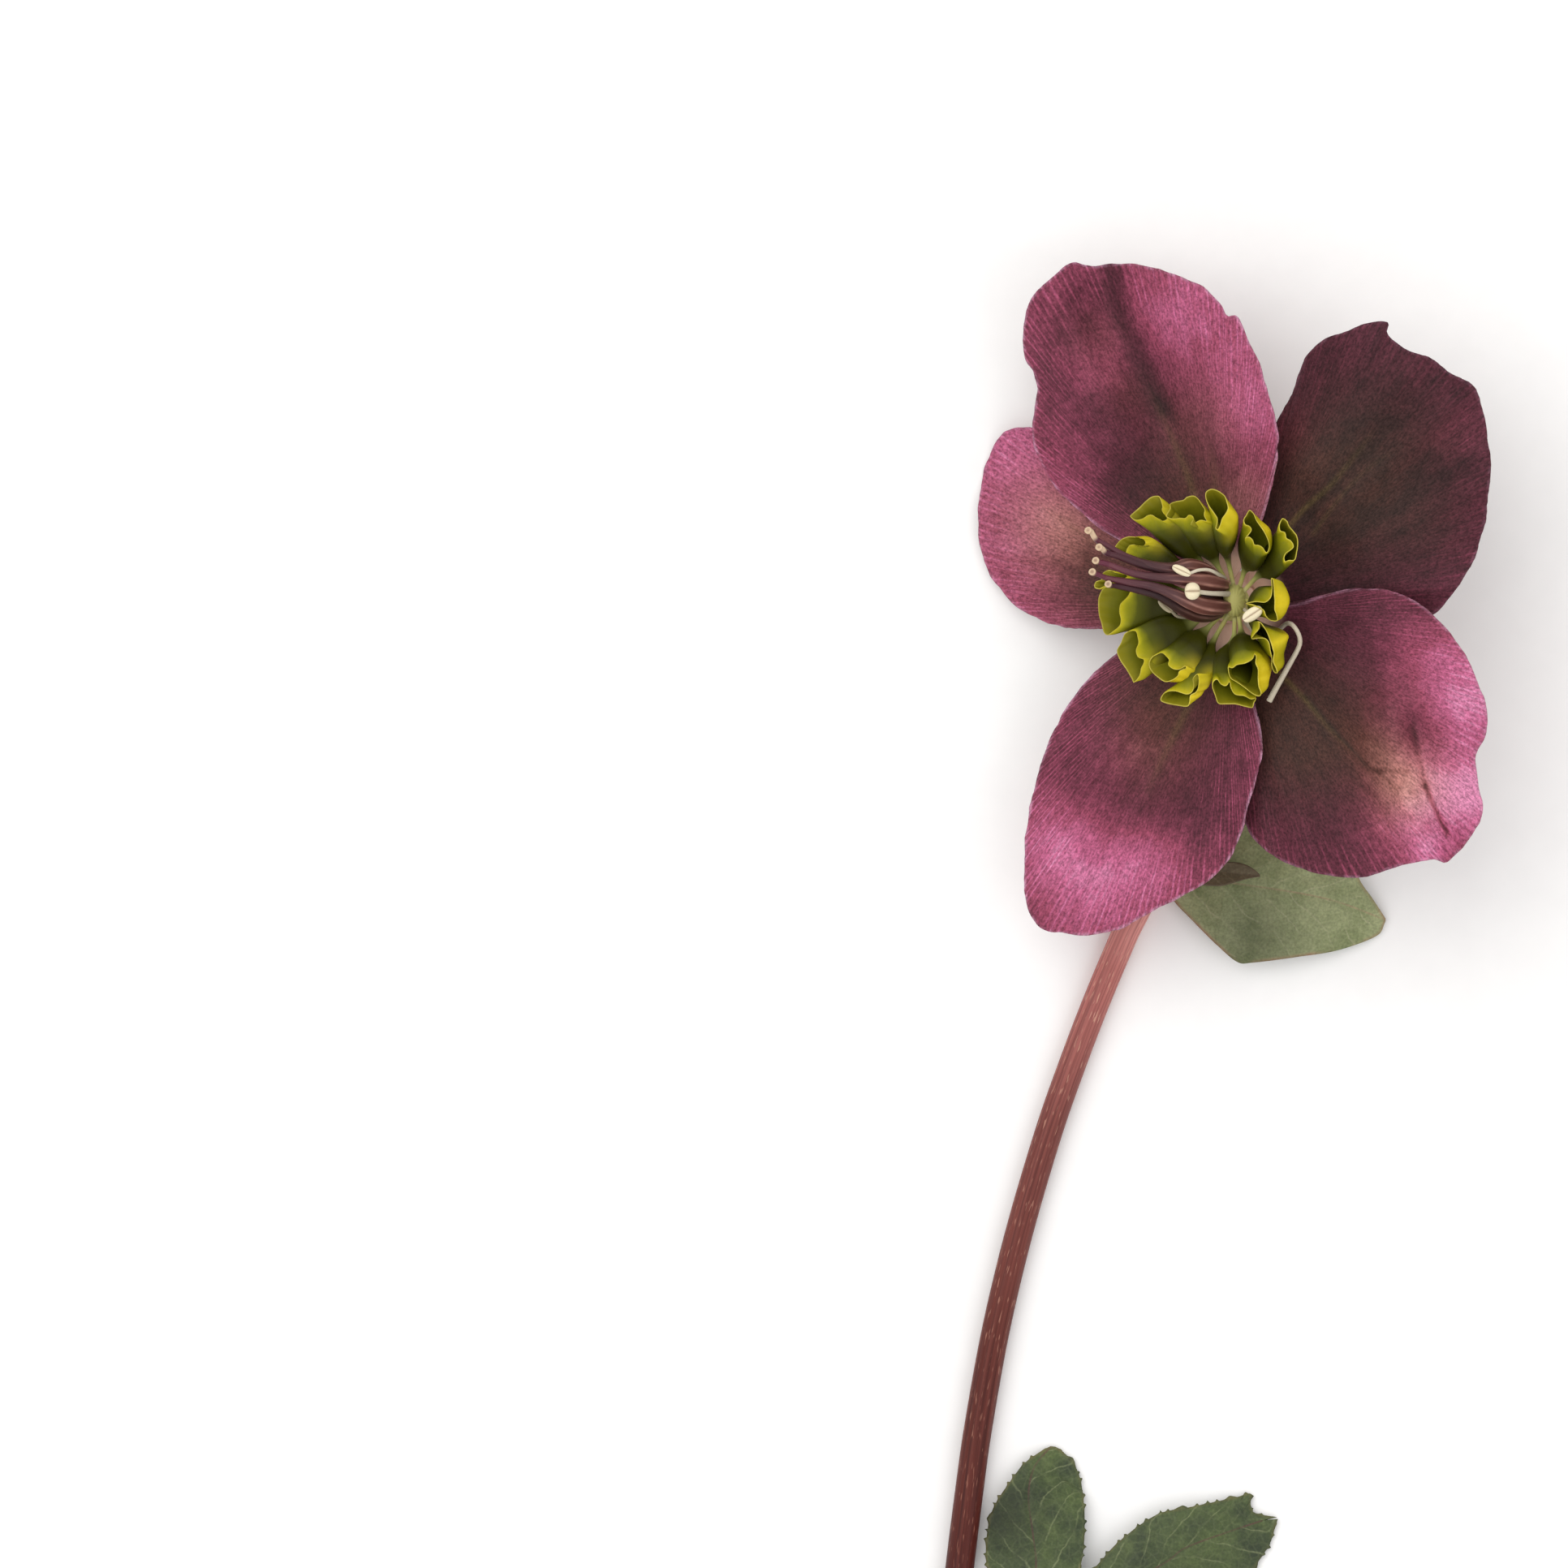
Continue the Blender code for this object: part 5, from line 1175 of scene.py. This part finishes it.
def bean_loft(shade, middle, length, width, way):
    """A pollen sac pair: two plump lobes with a groove between them that runs their length."""
    steps = np.sin(np.linspace(-math.pi / 2, math.pi / 2, 25)) * 0.999
    line = np.array(middle) + unit(np.array(way)) * steps[:, None] * length / 2
    sizes = width / 2 * np.sqrt(np.maximum(1.0 - steps ** 2, 0.0)) ** 0.8 + 0.02
    turns = around(40)
    dent = np.exp(-((turns / 0.22) ** 2)) + np.exp(-(((turns - 2 * math.pi) / 0.22) ** 2))
    shape = 1.0 - 0.3 * dent
    verts, faces = skin([point + oval(turns, u, v, 0.62 * r * shape, r * shape) for point, (u, v), r
                         in zip(line, frames(line, (0.0, 0.0, 1.0)), sizes)])
    groove = np.append(np.tile(dent, len(line)), [0.0, 0.0])
    return verts, faces, {"sac": 1.0, "groove": groove ** 2, "shade": shade}


def make_stamens(surface):
    """Four stamens that are still there and one bare filament bent over the ring."""
    threads = [(points + [middle], [half * 1.3, half, half * 0.9])
               for points, half, middle, _, _, _ in STAMENS]
    threads.append((BARE_FILAMENT, [0.3, 0.28, 0.27, 0.28, 0.33, 0.37]))
    parts = [(*skin(tube_rings(evenly(smooth_line(points), 80), sizes, 16)),
              {"sac": 0.0, "groove": 0.0, "shade": shade})
             for (points, sizes), shade in zip(threads, STAMEN_PAINTED_SHADE)]
    parts += [bean_loft(shade, *spec[2:]) for spec, shade in zip(STAMENS, STAMEN_PAINTED_SHADE)]
    verts, faces, values = gather(parts)
    mesh_piece("stamens", verts, faces, surface, None, values)


def carpel_loft(index):
    """One ribbed pod that thins to a style and ends in a small rolled stigma."""
    sides, rows = 48, 150
    points = CARPELS[index]
    tip = np.array(points[-1][:3])
    hook = [(*(tip + (-0.3, 0.1, 0.2)), 0.3), (*(tip + (-0.4, 0.2, 0.45)), 0.34)]
    line = evenly(smooth_line(points + hook, 10), rows)
    turns = around(sides)
    ribs = np.cos(6 * turns + index)
    seam = np.exp(-((turns - math.pi / 2) / 0.2) ** 2)
    # The pod ends between 0.3 and 0.45 of the way, and the stigma flares over the last part.
    steps = np.linspace(0, 1, rows)
    pods = 1.0 - np.clip((steps - 0.3) / 0.15, 0.0, 1.0)
    widths = line[:, 3] * (1.0 + 0.32 * np.clip((steps - 0.96) / 0.03, 0.0, 1.0))
    rings = []
    for row, width, pod, (u, v) in zip(line, widths, pods, frames(line[:, :3], (0.0, 0.0, 1.0))):
        size = width * (1.0 + (0.05 * pod + 0.015) * ribs - 0.16 * pod * seam)
        rings.append(row[:3] + oval(turns, u, v, size, size))
    last = rings[-1]
    middle = last.mean(axis=0)
    rings += [middle + (last - middle) * share + (0, 0, rise)
              for share, rise in ((0.6, 0.03), (0.42, -0.1))]
    verts, faces = skin(rings)
    share = np.repeat(np.append(steps, [1.0, 0.985]), sides)
    # The crests of the ribs near the pod's base get a painted highlight; a small even share lightens the
    # rest below the tip as a tint.
    crest = np.clip(np.tile(ribs, rows + 2), 0.0, 1.0) ** 1.5
    crest = crest * (1.0 - np.clip((share - 0.3) / 0.2, 0.0, 1.0)) + 0.12 * (share < 0.9)
    turned_share = np.tile(turns / (2 * math.pi), rows + 2)
    uv = np.vstack([np.stack([turned_share, share * 3], axis=1), [[0, 0], [0, 3]]])
    rise = np.append(share, [0.0, 0.98])
    pale = np.clip((rise - CARPEL_TIP[index]) / 0.02, 0.0, 1.0)
    pale[-1] = 0.4
    return (verts, faces, {"rise": rise, "ridge": np.append(crest, [0, 0]), "tip": pale,
                           "shade": CARPEL_PAINTED_SHADING[index]}), uv


def make_carpels(surface):
    """Five ribbed pods that lean to the left, with the short neck that holds them."""
    parts, uvs = zip(*[carpel_loft(i) for i in range(len(CARPELS))])
    base = 18.6
    verts, faces = skin([tilted_ring(around(40), (-1.9 - 0.5 * (z - base), 0.6, z), r, 1.1 * r, 0.3 * r)
                         for z, r in ((base, 0.7), (19.2, 1.0), (20.0, 1.15), (20.9, 1.05), (21.4, 0.7))])
    uvs = np.vstack([*uvs, np.zeros((len(verts), 2))])
    # The neck's stored shade darkens it as painted shade.
    neck = (verts, faces, {"rise": 0.05, "ridge": 0.0, "tip": 0.0, "shade": 0.6})
    verts, faces, values = gather([*parts, neck])
    made = mesh_piece("carpels", verts, faces, surface, uvs, values)
    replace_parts(made, "follicles")


def make_stem(surface):
    """A round stalk with faint lengthwise ridges, bent at the neck, cut flat at the foot."""
    sides = 40
    foot = STEM_LINE[-1][1]
    line = [from_bloom(0.0, 0.0, h) for h in (-2.8, -3.6, -4.6)]
    for x, y, z in STEM_LINE:
        radius = np.interp(y, [foot, 0.0], [STEM_FOOT / 2, STEM_TOP / 2])
        line.append((x, y, radius - FLAT_DEPTH if z is None else z))
    line = evenly(smooth_line(line), 520)

    def ridges(turn, t):
        return 0.985 + 0.012 * np.cos(7 * turn + 2.0) + 0.006 * np.cos(13 * turn + 9 * t)

    verts, faces = skin(tube_rings(line, [STEM_TOP / 2, STEM_FOOT / 2], sides, (0, 0, -1), ridges))
    verts[:, 2] = np.maximum(verts[:, 2], 0.0)
    share = np.repeat(np.linspace(0, 1, len(line)), sides)
    turn = np.tile(around(sides), len(line))
    length = line_length(line)
    uv = np.vstack([np.stack([turn * STEM_FOOT / 2, share * length], axis=1), [[0, 0], [0, length]]])
    made = mesh_piece("stalk", verts, faces, surface, uv, {"along": np.append(share, [0, 1])})
    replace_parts(made, "stem")


def leaf_margin(points, side, rows, teeth):
    """A margin with points at equal steps and, where teeth is their length, forward-leaning teeth."""
    edge = smooth_line(points, EDGE_STEPS)
    size = line_length(edge)
    edge = evenly(edge, rows)
    if not teeth:
        return edge
    run = np.linspace(0.0, size, rows)
    saw = (run / TOOTH + 0.25 * waves(run, TOOTH_SEED, 5.0)) % 1.0
    shape = np.where(saw < 0.85, (saw / 0.85) ** 5, (1.0 - saw) / 0.15)
    taper = np.clip(np.minimum(run - 4.0, size - run) / 3.0, 0.0, 1.0)
    return edge + side * outward(edge) * (teeth * (shape - 0.3) * taper)[:, None]


def leaf_grid(leaf, rows, half, teeth):
    """Plan points of a blade: half columns from its left margin to its rib, and half to its right."""
    rib = evenly(smooth_line(leaf["rib"]), rows)
    left, right = (leaf_margin(leaf[key], side, rows, teeth)
                   for key, side in (("left", 1.0), ("right", -1.0)))
    steps = (np.arange(2 * half + 1) - half)[None, :, None] / half
    share = np.abs(steps) ** 1.3
    return rib[:, None] * (1 - share) + np.where(steps < 0, left[:, None], right[:, None]) * share


def make_leaf(name, leaf, surface, rows, half=26, teeth=0.0, height=None, vein_pitch=VEIN_PITCH):
    """A leaf-like blade: sunken rib and side veins, puckered between them, thin at the margin."""
    plan = leaf_grid(leaf, rows, half, teeth)
    columns = plan.shape[1]
    flat = plan.reshape(-1, 2)
    rib_line = smooth_line(leaf["rib"], 6)
    far, where = nearest(flat, rib_line)
    run = where * line_length(rib_line)
    margin = nearest(flat, np.vstack([smooth_line(leaf["left"], 6),
                                      smooth_line(leaf["right"], 6)[::-1]]))[0]
    if height:
        z = height(flat)
    else:
        lift = np.interp(where, np.linspace(0, 1, len(leaf["rise"])), leaf["rise"])
        z = np.maximum(lift - leaf["droop"] * far ** 1.5, 0.32 + 0.04 * far)
    side = np.where(np.arange(len(flat)) % columns < half, -far, far)
    lead = (run - VEIN_SLANT * far) / vein_pitch + VEIN_STAGGER * (side > 0)
    pucker = 0.035 * np.cos(2 * math.pi * lead) * np.clip(far / 2.0, 0.0, 1.0)
    z = z - 0.1 * np.exp(-(far / 0.4) ** 2) - pucker * np.clip(margin / 1.5, 0.2, 1.0)
    grid = np.column_stack([flat, np.maximum(z, 0.2)]).reshape(rows, columns, 3)
    thick = LEAF_RIM + LEAF_SWELL * np.clip(margin / 1.5, 0.0, 1.0)
    made = sheet_piece(name, grid, thick, surface, np.stack([side, run], axis=1) / SHEET_UV,
                       {"margin": margin, "shade": spots(flat, leaf["shade"])})
    return made


def make_bracts():
    """The broad green bract behind the bloom and the small dark one above it."""
    green = leaf_skin("satin green bract", VEIN_PITCH,
                      "#7a8258", "#9ba076", "#b0ae8a", "#8f6450", "#9a8668")
    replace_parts(make_leaf("bract_blade", BRACT_GREEN, green, 150), "bract_green")

    def hollow(plan):
        lift = np.interp(plan[:, 0], [-7.6, -4.0, 3.2], [3.6, 5.9, 7.4])
        return lift + 0.12 * (plan[:, 1] + 32.3) ** 2

    dark = leaf_skin("dark dry bract", SMALL_VEIN_PITCH,
                     "#4a412f", "#6b5f48", "#7c7058", "#5a4a3a", "#5a4c3a")
    made = make_leaf("small_bract_blade", BRACT_DARK, dark, 60, half=10,
                     height=hollow, vein_pitch=SMALL_VEIN_PITCH)
    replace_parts(made, "bract_dark")


def make_leaflets():
    """The two toothed leaflets at the stem's foot and the short stalk that holds them."""
    green = leaf_skin("satin toothed leaf", VEIN_PITCH,
                      "#353f2b", "#536038", "#8a9168", "#6c6440", "#5a3c38")
    made = make_leaf("leaflet_upright", LEAFLET_A, green, 220, teeth=TOOTH_LENGTH)
    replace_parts(made, "stem_leaf")
    make_leaf("leaflet_side", LEAFLET_B, green, 280, teeth=TOOTH_LENGTH)
    line = evenly(smooth_line([(-31.55, -125.6, 1.7), (-30.2, -125.3, 1.8), (-28.6, -124.4, 2.0)]), 20)
    verts, faces = skin(tube_rings(line, [0.85, 0.9, 0.55], 20, (0, 0, 1)))
    stalk = mesh_piece("leaf_stalk", verts, faces, green, None, {"margin": 3.0, "shade": 0.0})


make_camera()
make_studio()
tissue = sepal_tissue()
for sepal_name in SEPALS:
    make_sepal(sepal_name, tissue)
make_calyx_base(tissue)
make_nectaries(nectary_wax())
make_stamens(stamen_skin())
make_carpels(carpel_skin())
make_stem(stem_skin())
make_bracts()
make_leaflets()
